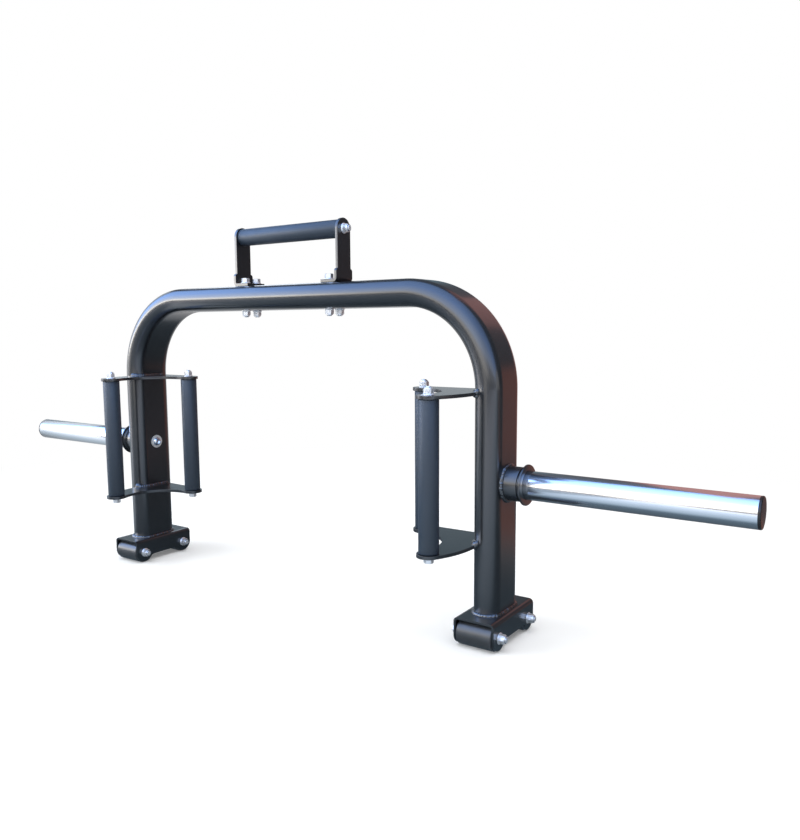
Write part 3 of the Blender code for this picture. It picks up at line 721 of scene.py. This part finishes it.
def makeGripTube(node, axis):
    low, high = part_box(node)
    centre = (low + high) / 2
    half = (high - low).dot(axis) / 2
    bore = gripRadius - grip["wall"]
    corner = (gripRadius, grip["edge"])
    tube = turned(pieceName(node), ringOutline([
        (-half, bore), *roundedCorner(-half, *corner, 1, grip["edgeMiddle"]),
        *roundedCorner(half, *corner, -1, grip["edgeMiddle"]), (half, bore)]), centre, axis, grip["sides"])
    wrapUv(tube, centre, axis)
    finish(tube, "frame", gripCoat, [node], smooth=grip["smooth"])


makeGripTube("carry_grip", alongX)
for name in sides:
    for kind in ("low", "high"):
        makeGripTube(f"{name}_{kind}_grip", up)
print("grips made")


# Carry brackets: folded strips with shoulders and a round top
bracket = {"sheet": 0.006, "width": 0.040, "baseWidth": 0.050, "baseLength": 0.040, "shoulder": 0.026,
           "innerBend": 0.003, "edgeRound": 0.0006, "innerSteps": 8, "outerSteps": 12, "shoulderSteps": 8,
           "topSteps": 40}


def foldedStrip(node, side, outerX, baseZ, rise):
    # larger than the bracket, whose face view then cuts it to shape
    sheet, reach, half = bracket["sheet"], bracket["baseLength"], bracket["width"] / 2
    outer = bracket["innerBend"] + sheet
    top, depth = rise + 2 * half, 3 * half
    strip = drawFlat(pieceName(node), (reach, 0), [
        (reach, sheet), (outer, sheet), ((outer, outer), -90, bracket["innerSteps"]), (sheet, top), (0, top),
        (0, outer), ((outer, outer), 90, bracket["outerSteps"])], depth)
    mirror = Matrix.Diagonal((-side, 1, 1, 1))
    return put(strip, Matrix.Translation((outerX, archY + depth / 2, baseZ)) @ mirror @ standing)


def bracketFaceView(outerX, baseZ, rise):
    # a wide base, round shoulders and a narrower stem with a round top
    sheet, reach = bracket["sheet"], bracket["baseLength"]
    half, base = bracket["width"] / 2, bracket["baseWidth"] / 2
    step = base - half
    shoulder, shoulderSteps = bracket["shoulder"] - step, bracket["shoulderSteps"]
    shape = drawFlat("bracketShape", (base, -sheet), [
        (base, shoulder), ((half, shoulder), 90, shoulderSteps), (half, rise),
        ((0, rise), 180, bracket["topSteps"]), (-half, bracket["shoulder"]),
        ((-half, shoulder), 90, shoulderSteps), (-base, -sheet)], 4 * reach)
    return put(shape, Matrix.Translation((outerX - 2 * reach, archY, baseZ)) @ faceOn)


def makeBracket(name, side):
    node = name + "_carry_bracket"
    low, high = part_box(node)
    baseZ, outerX = low.z, high.x if side > 0 else low.x
    eye = middle("carry_grip")
    rise = eye.z - baseZ
    strip = foldedStrip(node, side, outerX, baseZ, rise)
    combine(strip, bracketFaceView(outerX, baseZ, rise), "INTERSECT")
    drill(strip, boltHole, (outerX, eye.y, eye.z), alongX, throughSheet)
    for row in rows:
        drill(strip, boltHole, (*middle(f"{name}_{row}_crossbar_bolt").xy, baseZ), up, throughSheet)
    finishCoated(strip, node, bracket["edgeRound"])


for name, side in sides.items():
    makeBracket(name, side)
print("carry brackets made")


# Flange bolts and locking nuts, modelled once for each length
bolt = {"radius": 0.005, "flats": 0.015, "head": 0.0105, "pitch": 0.0015, "threadDepth": 0.0008,
        "threaded": 0.018, "grooveStart": 0.40, "grooveEnd": 0.60, "stickout": 0.0015, "tip": 0.0010,
        "tipSlope": 0.0001, "sides": 36, "smooth": 32}
nut = {"height": 0.0125, "dome": 0.0022, "collar": 0.0072, "flare": 0.0004, "flareDrop": 0.001,
       "flareRise": 0.0004, "crownHeight": 0.0016, "crownInset": 0.0005, "crownSteps": 5,
       "counterbore": 0.0064, "bore": 0.0053}
flange = {"radius": 0.0101, "thick": 0.002, "rimRound": 0.0003, "coneLap": 0.0002,
          "hexShare": 0.8, "rimShare": 0.4, "roundShare": 0.6, "coneShare": 1.5}     # shares of its thickness
hexCone = {"clear": 1.02, "inside": 0.97, "headDrop": 0.30, "nutDrop": 0.22, "reach": 0.03, "sides": 48}
nutRing = {"depth": 0.0030, "below": 0.0004, "boltGap": 0.00002, "nutGap": 0.00003, "rise": 0.0002,
           "round": 0.0004}


def hexagonBar(name, flats, low, high):
    bar = startPrimitive(bpy.ops.mesh.primitive_cylinder_add, name, vertices=6,
                         radius=flats / 2 / cos(pi / 6), depth=high - low)
    bar.data.transform(Matrix.Translation((0, 0, (low + high) / 2)))
    return bar


def chamferHexagon(bar, flats, tip, way, drop):
    # turns the corners down to a cone, as on a pressed head; way points from the body to the tip
    corner = flats / 2 / cos(pi / 6) * hexCone["clear"]
    inside = flats / 2 * hexCone["inside"]
    fall = (corner - inside) * drop * 2
    far = hexCone["reach"]
    cone = turned("hexCone", [(-far, 0), (-far, corner), (-fall, corner), (0, inside), (0, 0)], (0, 0, tip),
                  (0, 0, way), hexCone["sides"])
    combine(bar, cone, "INTERSECT")


def flangeSlope():
    # from the flange's rim up its cone to the hexagon, as (height, radius)
    thick, radius = flange["thick"], flange["radius"]
    return [(thick * flange["rimShare"], radius), (thick * flange["roundShare"], radius - flange["rimRound"]),
            (thick * flange["coneShare"], bolt["flats"] / 2 + flange["coneLap"])]


def makeBoltMaster(clamped):
    # head below zero, shank above it
    length = clamped + gap + nut["height"] + bolt["stickout"]
    head = hexagonBar("boltMaster", bolt["flats"], -bolt["head"], -flange["thick"] * flange["hexShare"])
    chamferHexagon(head, bolt["flats"], -bolt["head"], -1, hexCone["headDrop"])
    radius, core, pitch = bolt["radius"], bolt["radius"] - bolt["threadDepth"], bolt["pitch"]
    slope = [(-height, across) for height, across in reversed(flangeSlope())]
    outline = [(slope[0][0], 0), *slope, (-gap, flange["radius"]), (-gap, radius)]
    turns = int(bolt["threaded"] / pitch)
    start = length - bolt["tip"] - turns * pitch
    for i in range(turns):
        here = start + i * pitch
        outline += [(here, radius), (here + bolt["grooveStart"] * pitch, core),
                    (here + bolt["grooveEnd"] * pitch, core)]
    outline += [(length - bolt["tip"], radius - bolt["tipSlope"]), (length, core), (length, 0)]
    combine(head, turned("boltShank", outline, steps=bolt["sides"]), "UNION")
    return head


def makeNutMaster():
    # seat at zero, collar on top, bored out for its nylon ring
    height, collar = nut["height"], nut["collar"]
    hexTop = height - nut["dome"]
    body = hexagonBar("nutMaster", bolt["flats"], flange["thick"] * flange["hexShare"], hexTop)
    chamferHexagon(body, bolt["flats"], hexTop, 1, hexCone["nutDrop"])
    outline = [(gap, 0), (gap, flange["radius"]), *flangeSlope(),
               (hexTop - nut["flareDrop"], collar + nut["flare"]), (hexTop + nut["flareRise"], collar)]
    for i in range(1, nut["crownSteps"] + 1):
        swing = radians(90 * i / nut["crownSteps"])
        outline.append((height - nut["crownHeight"] * (1 - sin(swing)),
                        collar - nut["crownInset"] * (1 - cos(swing))))
    outline.append((height, 0))
    combine(body, turned("nutCollar", outline, steps=bolt["sides"]), "UNION")
    drill(body, nut["bore"], (0, 0, height / 2), up, throughSheet)
    ringSeat = height - nutRing["depth"]
    combine(body, rodTool(nut["counterbore"], (0, 0, ringSeat), (0, 0, throughSheet)), "DIFFERENCE")
    return body


def makeRingMaster():
    low, high = nut["height"] - nutRing["depth"], nut["height"] - nutRing["below"]
    inner, outer = bolt["radius"] + nutRing["boltGap"], nut["counterbore"] - nutRing["nutGap"]
    return turned("ringMaster", ringOutline([
        (low, inner), (low, outer), (high, outer), (high + nutRing["rise"], outer - nutRing["round"]),
        (high, inner)]), steps=bolt["sides"])


def seat(x, y, z, turn=Matrix.Identity(4)):
    return Matrix.Translation((x, y, z)) @ turn


def fastenerRuns():
    # for each clamped length: the stem of each node's name, its bolt's place and its nut's place
    headUp = Matrix.Rotation(pi, 4, "X")
    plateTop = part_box("left_upper_handle_plate")[1].z
    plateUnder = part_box("left_lower_handle_plate")[0].z
    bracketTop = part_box("left_carry_bracket")[0].z + bracket["sheet"]
    barUnder = barHeight - tubeHalf
    halfFoot = foot["width"] / 2
    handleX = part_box("right_carry_bracket")[1].x
    handleZ = middle("carry_grip").z
    handleRun = [("carry_grip", seat(-handleX, archY, handleZ, alongSleeve),
                  seat(handleX, archY, handleZ, alongSleeve))]
    gripRun, barRun, rollerRun = [], [], []
    for name in sides:
        for kind in ("low", "high"):
            x, y, _ = middle(f"{name}_{kind}_grip")
            gripRun.append((f"{name}_{kind}_grip", seat(x, y, plateUnder), seat(x, y, plateTop)))
        for row in rows:
            x, y, _ = middle(f"{name}_{row}_crossbar_bolt")
            barRun.append((f"{name}_{row}_crossbar", seat(x, y, bracketTop, headUp),
                           seat(x, y, barUnder, headUp)))
            x, y, z = middle(f"{name}_{row}_roller")
            rollerRun.append((f"{name}_{row}_roller", seat(x - halfFoot, y, z, alongSleeve),
                              seat(x + halfFoot, y, z, alongSleeve)))
    return [(2 * handleX, handleRun), (plateTop - plateUnder, gripRun), (bracketTop - barUnder, barRun),
            (2 * halfFoot, rollerRun)]


def placeFasteners():
    nutMaster, ringMaster = makeNutMaster(), makeRingMaster()
    for clamped, spots in fastenerRuns():
        boltMaster = makeBoltMaster(clamped)
        for stem, boltPlace, nutPlace in spots:
            for part, master, place in (("_bolt", boltMaster, boltPlace), ("_nut", nutMaster, nutPlace)):
                piece = copyTo(master, pieceName(stem + part), place)
                finish(piece, "frame", zinc, [stem + part], smooth=bolt["smooth"])
            piece = copyTo(ringMaster, pieceName(stem + "_nut_ring"), nutPlace)
            finish(piece, "frame", nylonRing)
        bpy.data.objects.remove(boltMaster)
    bpy.data.objects.remove(nutMaster)
    bpy.data.objects.remove(ringMaster)


placeFasteners()
print("bolts and nuts made")


# Sleeves: boss on the leg, turning tube with its collar and end cap, and the bolt that holds the shaft
sleeve = {"radius": 0.025, "bore": 0.021, "bossRadius": 0.030, "flange": 0.0355, "rim": 0.003, "neck": 0.003,
          "shaftBore": 0.0153, "spigot": 0.019, "sides": 96, "edge": 0.0005, "flareSteps": 10}
endCap = {"rimRound": 0.0002, "rimSlope": 0.0003,      # the corner's points: back from the end, and inwards
          "corner": ((0.0015, 0), (0.0008, 0.0004), (0.0002, 0.0012), (0, 0.0024))}
sleeveBolt = {"washer": 0.0150, "washerThick": 0.0025, "washerRound": 0.0004, "head": 0.0100,
              "headHeight": 0.006, "domeFrom": 18, "domeStep": 9, "domeFullness": 0.8,
              "rimHeight": 0.0012, "rimRound": 0.0002,
              "socketFlats": 0.010, "socketDepth": 0.004, "socketReach": 0.02, "shank": 0.008, "smooth": 32}


def turnedAlongX(node, outline, side):
    # outline as (distance outward from the arch's middle, radius)
    return turned(pieceName(node), outline, (0, archY, sleeveHeight), (side, 0, 0), sleeve["sides"])


def outwards(node, side):
    low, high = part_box(node)
    return (low.x, high.x) if side > 0 else (-high.x, -low.x)


def makeBoss(name, side):
    node = name + "_sleeve_boss"
    start, end = outwards(node, side)
    face, radius = legX + tubeHalf + gap, sleeve["bossRadius"]
    boss = turnedAlongX(node, ringOutline([
        (start, sleeve["shaftBore"]), (start, sleeve["spigot"]), (face, sleeve["spigot"]), (face, radius),
        *roundedCorner(end, radius, 2 * sleeve["edge"], -1), (end, sleeve["shaftBore"])]), side)
    finish(boss, "frame", powder, [node])


def makeSleeveTube(name, side):
    node = name + "_sleeve_tube"
    start, end = outwards(node, side)
    corner = (sleeve["radius"], sleeve["edge"])
    tube = turnedAlongX(node, ringOutline([
        (start, sleeve["bore"]), *roundedCorner(start, *corner, 1), *roundedCorner(end, *corner, -1),
        (end, sleeve["bore"])]), side)
    wrapUv(tube, (0, archY, sleeveHeight), alongX)
    finish(tube, name + "_sleeve", chrome, [node])


def makeCollar(name, side):
    # flares from the boss's radius to the flange in a quarter of an ellipse
    node = name + "_sleeve_collar"
    start, end = outwards(node, side)
    bore, radius, edge = sleeve["radius"] + gap, sleeve["bossRadius"], 2 * sleeve["edge"]
    flareStart, flareEnd = start + sleeve["neck"], end - sleeve["rim"]
    swings = [radians(90 * i / sleeve["flareSteps"]) for i in range(sleeve["flareSteps"] + 1)]
    flare = [(flareStart + (flareEnd - flareStart) * sin(swing),
              radius + (sleeve["flange"] - radius) * (1 - cos(swing))) for swing in swings]
    collar = turnedAlongX(node, ringOutline([
        (start, bore), *roundedCorner(start, radius, edge, 1), *flare,
        *roundedCorner(end, sleeve["flange"], edge, -1), (end, bore)]), side)
    finish(collar, name + "_sleeve", powder, [node])


def makeEndCap(name, side):
    # a plug in the tube, with a rim that covers the tube's end
    node = name + "_sleeve_end_cap"
    start, end = outwards(node, side)
    rimStart = outwards(name + "_sleeve_tube", side)[1] + gap
    plug, out = sleeve["bore"] - gap, sleeve["radius"]
    cap = turnedAlongX(node, [
        (start, 0), (start, plug), (rimStart, plug), (rimStart, out - endCap["rimRound"]),
        (rimStart + endCap["rimSlope"], out),
        *[(end - back, out - inwards) for back, inwards in endCap["corner"]], (end, 0)], side)
    finish(cap, name + "_sleeve", capPlastic, [node])


def makeSleeveBolt(name, side):
    # a round-topped socket head, clear of the leg's inner face by its washer
    node = name + "_sleeve_bolt"
    high = outwards(node, side)[1]
    head, shank, height = sleeveBolt["head"], sleeveBolt["shank"], sleeveBolt["headHeight"]
    under = legX - tubeHalf - sleeveBolt["washerThick"]
    swings = [radians(a) for a in range(sleeveBolt["domeFrom"], 90, sleeveBolt["domeStep"])]
    fullness = sleeveBolt["domeFullness"]
    dome = [(under - height * cos(swing), head * sin(swing) ** fullness) for swing in swings]
    piece = turnedAlongX(node, [
        (under - height, 0), *dome, (under - sleeveBolt["rimHeight"], head),
        (under, head - sleeveBolt["rimRound"]), (under, shank), (high, shank), (high, 0)], side)
    socket = hexagonBar("socketTool", sleeveBolt["socketFlats"], -sleeveBolt["socketDepth"],
                        sleeveBolt["socketReach"])
    inwards = Matrix.Diagonal((-side, 1, 1, 1)) @ alongSleeve
    put(socket, seat(side * (under - height), archY, sleeveHeight, inwards))
    combine(piece, socket, "DIFFERENCE")
    finish(piece, "frame", polishedZinc, [node], smooth=sleeveBolt["smooth"])


def makeSleeveWasher(name, side):
    face = legX - tubeHalf
    under, bore = face - sleeveBolt["washerThick"], sleeveBolt["shank"] + gap
    outer, cut = sleeveBolt["washer"], sleeveBolt["washerRound"]
    washer = turnedAlongX(name + "_sleeve_washer", ringOutline([
        (under, bore), (under, outer - cut), (under + cut, outer), (face - gap, outer), (face - gap, bore)]),
        side)
    finish(washer, "frame", washerZinc)


for name, side in sides.items():
    for make in (makeBoss, makeSleeveTube, makeCollar, makeEndCap, makeSleeveBolt, makeSleeveWasher):
        make(name, side)
print("sleeves made")


# Shafts and bushes keep the frame's solids
def dressHidden():
    for name in sides:
        for part, stuff in (("shaft", groundSteel), ("inner_bush", bronze), ("outer_bush", bronze)):
            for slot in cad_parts[f"{name}_sleeve_{part}"].material_slots:
                slot.material = stuff


dressHidden()


# Weld beads: overlapping ripples laid along a path, then melted together
weld = {"pitch": 0.0020, "long": 0.0022, "across": 0.0043, "high": 0.0034, "melt": 0.00055,
        "unevenness": 0.16, "wander": 0.00035, "outset": 0.0008, "lift": 0.0006,
        "plateOutset": 0.0006, "plateLift": 0.0004,
        "overrun": 0.0025, "swellLead": 1.4, "swellLength": 0.010, "topSwell": {"lower": 1.0, "upper": 0.5},
        "underSwell": 0.25}
dice = Random(7)


def layBead(name, spots):
    # spots are (place, direction of travel, direction the bead faces, size)
    ripple = startPrimitive(bpy.ops.mesh.primitive_uv_sphere_add, "ripple", segments=10, ring_count=7,
                            radius=1)
    pieces = []
    for place, travel, facing, size in spots:
        travel, facing = Vector(travel).normalized(), Vector(facing).normalized()
        across = facing.cross(travel)
        turn = Matrix((travel, across, facing)).transposed().to_4x4()
        wobble = [1 + dice.uniform(-1, 1) * weld["unevenness"] / size ** 2 for _ in range(3)]
        measures = [weld[key] * share * size for key, share in zip(("long", "across", "high"), wobble)]
        scale = Matrix.Diagonal((*measures, 1))
        shift = across * dice.uniform(-1, 1) * weld["wander"] / size
        pieces.append(copyTo(ripple, name, Matrix.Translation(Vector(place) + shift) @ turn @ scale))
    bpy.data.objects.remove(ripple)
    clearSelection()
    for piece in pieces:
        piece.select_set(True)
    bead = pieces[0]
    bpy.context.view_layer.objects.active = bead
    bpy.ops.object.join()
    modify(bead, "REMESH", mode="VOXEL", voxel_size=weld["melt"])
    modify(bead, "SMOOTH", factor=0.5, iterations=1)
    only(bead)
    bpy.ops.object.shade_smooth()
    bead.name = name
    finish(bead, "frame", weldCoat, smooth=None)


def legPath(side, end, z, outset, facingZ, growth=0):
    # round the leg's flat-oval outline, seen from above; distances from the inner flat's rear end
    # each half is a flat and a nose, and the second half is the first one turned round
    # growth swells the bead just before its end
    flat, radius = 2 * noseY, tubeHalf + outset
    half = flat + pi * radius
    spots = []
    count = int(end / weld["pitch"])
    for i in range(count + 1):
        run = end * i / count
        way = 1 if run >= half else -1
        at = run % half
        angle = max(0, at - flat) / radius
        out = way * Vector((cos(angle), sin(angle)))
        travel = Vector((-out.y, out.x))
        spot = Vector((0, way * (min(at, flat) - noseY))) + radius * out
        swell = weld["swellLead"] - (end - run) / weld["swellLength"]
        size = 1 + growth * min(1, max(0, swell))
        spots.append(((side * (legX + spot.x), archY + spot.y, z), (side * travel.x, travel.y, 0),
                      (side * out.x, out.y, facingZ), size))
    return spots


def plateWelds(name, side, level):
    low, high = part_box(f"{name}_{level}_handle_plate")
    noseRun = 2 * noseY + radians(plate["noseWrap"]) * (tubeHalf + weld["outset"])
    outset, lift = weld["plateOutset"], weld["plateLift"]
    stem = f"{name}{level.title()}Plate"
    layBead(stem + "TopWeld",
            legPath(side, noseRun + weld["overrun"], high.z + lift, outset, 1, weld["topSwell"][level]))
    layBead(stem + "UnderWeld", legPath(side, noseRun, low.z - lift, outset, -1, weld["underSwell"]))


def bossWeld(name, side):
    radius = sleeve["bossRadius"] + weld["outset"]
    steps = int(2 * pi * radius / weld["pitch"])
    centre = Vector((side * (legX + tubeHalf + weld["outset"]), archY, sleeveHeight))
    spots = []
    for i in range(steps):
        angle = 2 * pi * i / steps
        out = Vector((0, cos(angle), sin(angle)))
        spots.append((centre + out * radius, (0, -sin(angle), cos(angle)), (side, out.y, out.z), 1))
    layBead(name + "BossWeld", spots)


def makeWelds():
    lap = 4 * noseY + 2 * pi * (tubeHalf + weld["outset"])
    for name, side in sides.items():
        layBead(name + "FootWeld",
                legPath(side, lap - weld["pitch"], footTop + weld["lift"], weld["outset"], 1))
        for level in ("lower", "upper"):
            plateWelds(name, side, level)
        bossWeld(name, side)


makeWelds()
print("welds made")


# Stage: white floor and surroundings, and a soft-lit vault that only the object's surfaces see
backdrop = {"worldFill": 0.3, "floorColour": 0.85, "floorRoughness": 0.95, "floorLift": 0.16,
            "fadeStart": 0.7, "fadeEnd": 2.0, "floorRadius": 40}
floorCard = {"radius": 8, "height": 0.0003, "lightFrom": 1.0, "lightLength": 4.0}
vault = {"radius": 4.0, "reach": 16.0, "strength": 8.0, "steps": 64}
vaultSky = [        # share of the way from the front horizon over the top to the back one, and its light
    (0.000, (0.42, 0.40, 0.39)), (0.040, (0.44, 0.42, 0.41)), (0.056, (7.4, 7.0, 6.2)),
    (0.095, (7.4, 7.1, 6.8)), (0.140, (3.4, 4.0, 5.2)), (0.350, (1.5, 2.5, 5.0)), (0.500, (1.0, 1.7, 3.4)),
    (0.550, (0.8, 1.4, 2.8)), (0.575, (0.11, 0.14, 0.20)), (0.720, (0.10, 0.11, 0.13)),
    (1.000, (0.09, 0.09, 0.10))]
behindLeft = [      # the same share, behind the left of the arch, which the level plates reflect
    (0.760, (0.10, 0.11, 0.13)), (0.830, (0.11, 0.15, 0.18)), (0.895, (0.13, 0.19, 0.23)),
    (0.925, (0.36, 0.40, 0.43)), (0.960, (0.50, 0.52, 0.54))]
floorLight = [      # share of the way from 1 m behind the arch to 3 m in front, and its light
    (0.000, (0.10, 0.12, 0.14)), (0.220, (0.08, 0.11, 0.14)), (0.270, (0.11, 0.16, 0.21)),
    (0.360, (0.22, 0.29, 0.37)), (0.500, (0.30, 0.38, 0.48)), (0.700, (0.44, 0.50, 0.60))]
tones = {"dim": (0.10, 0.10, 0.11), "pale": (0.66, 0.72, 0.78), "panel": (1.9, 2.1, 2.4),
         "horizon": (1.0, 0.95, 0.88), "warm": (0.36, 0.165, 0.14), "paleWarm": (0.47, 0.25, 0.24),
         "besideLeg": (0.25, 0.25, 0.26)}
# A patch of light has soft edges, each as (share of x, share of y, start, full): the edge rises from 0 to 1
# where that sum of x and y goes from start to full. On the vault y is the share of the way over it.
behindLeftEdges = [(-1, 0, 1.0, 1.7), (0, 1, 0.74, 0.78)]
vaultPatches = [    # laid over the sky in this order
    ("pale", [(-1, 0, 5.0, 5.6), (0, -1, -0.05, -0.03)]),
    ("pale", [(-1, 0, 5.0, 5.6), (0, 1, 0.50, 0.58), (0, -1, -0.86, -0.83)]),
    ("pale", [(-1, 0, 5.0, 5.6), (0, 1, 0.90, 0.93)]),
    ("panel", [(-1, 0, 2.4, 3.0), (1, 0, -4.6, -4.0), (0, 1, 0.68, 0.76), (0, -1, -0.86, -0.81)]),
    ("horizon", [(1, 0, -1.0, -0.6), (-1, 0, -0.9, -0.5), (0, -1, -0.05, -0.03)]),
    ("warm", [(1, 0, -0.9, -0.2), (-1, 0, -3.1, -2.6), (0, 1, 0.90, 0.94)]),
    ("paleWarm", [(1, 1.75, 1.025, 1.225), (0.13, 1, 0.645, 0.675), (-1, 0, -1.3, -1.0),
                  (0, -1, -0.96, -0.92)])]
dimming = {"front": (0, -1, -0.58, -0.54), "strip": (0, -1, -0.15, -0.10), "middle": (1, 0, -3.7, -2.4),
           "right": (1, 0, 0.5, 3.5), "skyShare": 0.42, "stripShare": 0.30, "rightShare": 0.20}
cardGains = [       # what the floor's light is multiplied by
    ((2.7, 2.5, 2.4), [(1, 0, -0.05, 0.30), (0, -1, 0.05, 0.20)]),
    ((4.2, 3.5, 3.1), [(-1, 1.15, 0.35, 0.55), (-1, 0, 0.62, 0.80)])]
besideLegEdges = [(1, -0.6, 0.10, 0.35), (0, 1, 0.25, 0.7), (0, -1, -1.4, -0.9)]
cardWarmEdges = [(0, 1, 0.8, 2.4), (1, 0, -0.9, -0.2), (-1, 0, -3.1, -2.6), (-1, 0.45, -0.85, -0.62)]
besideFootEdges = [(1, -1.235, -0.39, -0.24), (0, 1, 0.45, 0.78), (0, -1, -1.3, -1.1)]


def whiteRays(tree):
    # 1 for rays that see the white surroundings: straight from the camera, in gloss and through glass
    rays = tree.nodes.new("ShaderNodeLightPath")
    direct, glossy, through = (Link(tree, rays.outputs[f"Is {kind} Ray"])
                               for kind in ("Camera", "Glossy", "Transmission"))
    return direct.maths("MAXIMUM", glossy).maths("MAXIMUM", through)


def stepUp(value, low, high):
    return value.add("ShaderNodeMapRange", {"interpolation_type": "SMOOTHSTEP"}, i0=value, i1=low, i2=high)


def patch(x, y, edges):
    # the product of a patch's soft edges
    steps = [stepUp(x * xShare + y * yShare, start, full) for xShare, yShare, start, full in edges]
    share = steps[0]
    for step in steps[1:]:
        share = share * step
    return share


def stageMaterial(name):
    stuff = bpy.data.materials.new(name)
    stuff.use_nodes = True
    tree = stuff.node_tree
    place = tree.nodes.new("ShaderNodeTexCoord")
    parts = tree.nodes.new("ShaderNodeSeparateXYZ")
    tree.links.new(place.outputs["Object"], parts.inputs[0])
    return stuff, tree, [Link(tree, parts.outputs[i]) for i in range(3)]


def glow(tree, colour, strength=1.0):
    lit = colour.add("ShaderNodeEmission", Color=colour, Strength=strength)
    tree.links.new(lit.socket, tree.nodes["Material Output"].inputs["Surface"])


def onlyReflected(card):
    card.visible_camera = False
    card.visible_diffuse = False
    card.visible_shadow = False
    card.visible_transmission = False
    card.visible_volume_scatter = False


def makeWorld():
    world = bpy.data.worlds.new("white studio")
    bpy.context.scene.world = world
    world.use_nodes = True
    tree = world.node_tree
    background = tree.nodes["Background"]
    fill = backdrop["worldFill"]
    tree.links.new((whiteRays(tree) * (1 - fill) + fill).socket, background.inputs["Strength"])
    background.inputs["Color"].default_value = (1, 1, 1, 1)


def makeFloor():
    floor = startPrimitive(bpy.ops.mesh.primitive_circle_add, "floor", vertices=96,
                           radius=backdrop["floorRadius"], fill_type="NGON")
    stuff, tree, (x, y, _) = stageMaterial("pale floor")
    shader = tree.nodes["Principled BSDF"]
    shader.inputs["Base Color"].default_value = (*[backdrop["floorColour"]] * 3, 1)
    shader.inputs["Roughness"].default_value = backdrop["floorRoughness"]
    away = (x * x + y * y).maths("SQRT")
    seen = whiteRays(tree)
    fade = stepUp(away, backdrop["fadeStart"], backdrop["fadeEnd"]) * seen
    white = fade.add("ShaderNodeEmission", Color=(1, 1, 1, 1))
    lift = fade.add("ShaderNodeEmission", Color=(1, 1, 1, 1), Strength=seen * backdrop["floorLift"])
    near = lift.add("ShaderNodeAddShader", i0=Link(tree, shader.outputs[0]), i1=lift)
    both = fade.add("ShaderNodeMixShader", i0=fade, i1=near, i2=white)
    tree.links.new(both.socket, tree.nodes["Material Output"].inputs["Surface"])
    floor.data.materials.append(stuff)


def dimmed(colour):
    # a ramp clips at 1, so the vault's colours are divided by the strength that its emission has
    return tuple(part / vault["strength"] for part in colour)


def skyRamp(share, stops):
    return share.add("ShaderNodeValToRGB", {"stops": [(spot, dimmed(colour)) for spot, colour in stops]},
                     Fac=share)


def makeVault():
    pen = startPen("vault", (-vault["reach"], -vault["radius"], 0))
    arcBy((0, 0, 0), (-1, 0, 0), 180, vault["steps"])
    bpy.ops.mesh.select_all(action="SELECT")
    lineBy(2 * vault["reach"], 0, 0)
    bpy.ops.object.mode_set(mode="OBJECT")
    stuff, tree, (x, y, z) = stageMaterial("vault light")
    share = z.maths("ARCTAN2", y * -1) / pi
    sky = skyRamp(share, vaultSky)
    strip = patch(x, share, [dimming["strip"]]) * dimming["stripShare"] + dimming["skyShare"]
    shade = patch(x, share, [dimming["middle"]]) * strip
    shade = shade + patch(x, share, [dimming["right"]]) * dimming["rightShare"]
    sky = mixColours(shade * patch(x, share, [dimming["front"]]), sky, dimmed(tones["dim"]))
    sky = mixColours(patch(x, share, behindLeftEdges), sky, skyRamp(share, behindLeft))
    for tone, edges in vaultPatches:
        sky = mixColours(patch(x, share, edges), sky, dimmed(tones[tone]))
    glow(tree, sky, vault["strength"])
    pen.data.materials.append(stuff)
    onlyReflected(pen)


def makeFloorCard():
    card = startPrimitive(bpy.ops.mesh.primitive_circle_add, "floorCard", vertices=64,
                          radius=floorCard["radius"], fill_type="NGON")
    card.data.transform(Matrix.Translation((0, 0, floorCard["height"])))
    stuff, tree, (x, y, _) = stageMaterial("floor card")
    ahead = (floorCard["lightFrom"] - y) / floorCard["lightLength"]
    light = y.add("ShaderNodeValToRGB", {"stops": floorLight}, Fac=ahead)
    for gain, edges in cardGains:
        brighter = light.add("ShaderNodeVectorMath", {"operation": "MULTIPLY"}, i0=light, i1=gain)
        light = mixColours(patch(x, y, edges), light, brighter)
    light = mixColours(patch(x, y, besideLegEdges), light, tones["besideLeg"])
    warm = patch(x, y, cardWarmEdges).maths("MAXIMUM", patch(x, y, besideFootEdges))
    glow(tree, mixColours(warm, light, tones["warm"]))
    card.data.materials.append(stuff)
    onlyReflected(card)


lamps = {       # place, aim, size, power and colour; the vault stands in for them in reflections
    "overhead": ((0.3, -0.5, 3.2), (0, 0, 0.3), (5.0, 4.0), 150, (0.97, 0.985, 1.0)),
    "front": ((-3.2, -2.8, 1.7), (0, 0, 0.4), (3.0, 2.0), 130, (0.90, 0.96, 1.0)),
    "back": ((1.2, 4.2, 1.9), (0, 0, 0.4), (3.0, 2.0), 40, (1.0, 0.97, 0.94)),
}


def makeLamps():
    for name, (place, aim, size, power, colour) in lamps.items():
        clearSelection()
        bpy.ops.object.light_add(type="AREA", location=place)
        lamp = bpy.context.object
        lamp.name = name
        lamp.data.shape = "RECTANGLE"
        lamp.data.size, lamp.data.size_y = size
        lamp.data.energy = power
        lamp.data.color = colour
        lamp.rotation_euler = (Vector(aim) - Vector(place)).to_track_quat("-Z", "Y").to_euler()
        lamp.visible_camera = False
        lamp.visible_glossy = False


def makeStage():
    makeWorld()
    makeFloor()
    makeVault()
    makeFloorCard()
    makeLamps()


makeStage()
aimCamera()
print("stage and camera made")
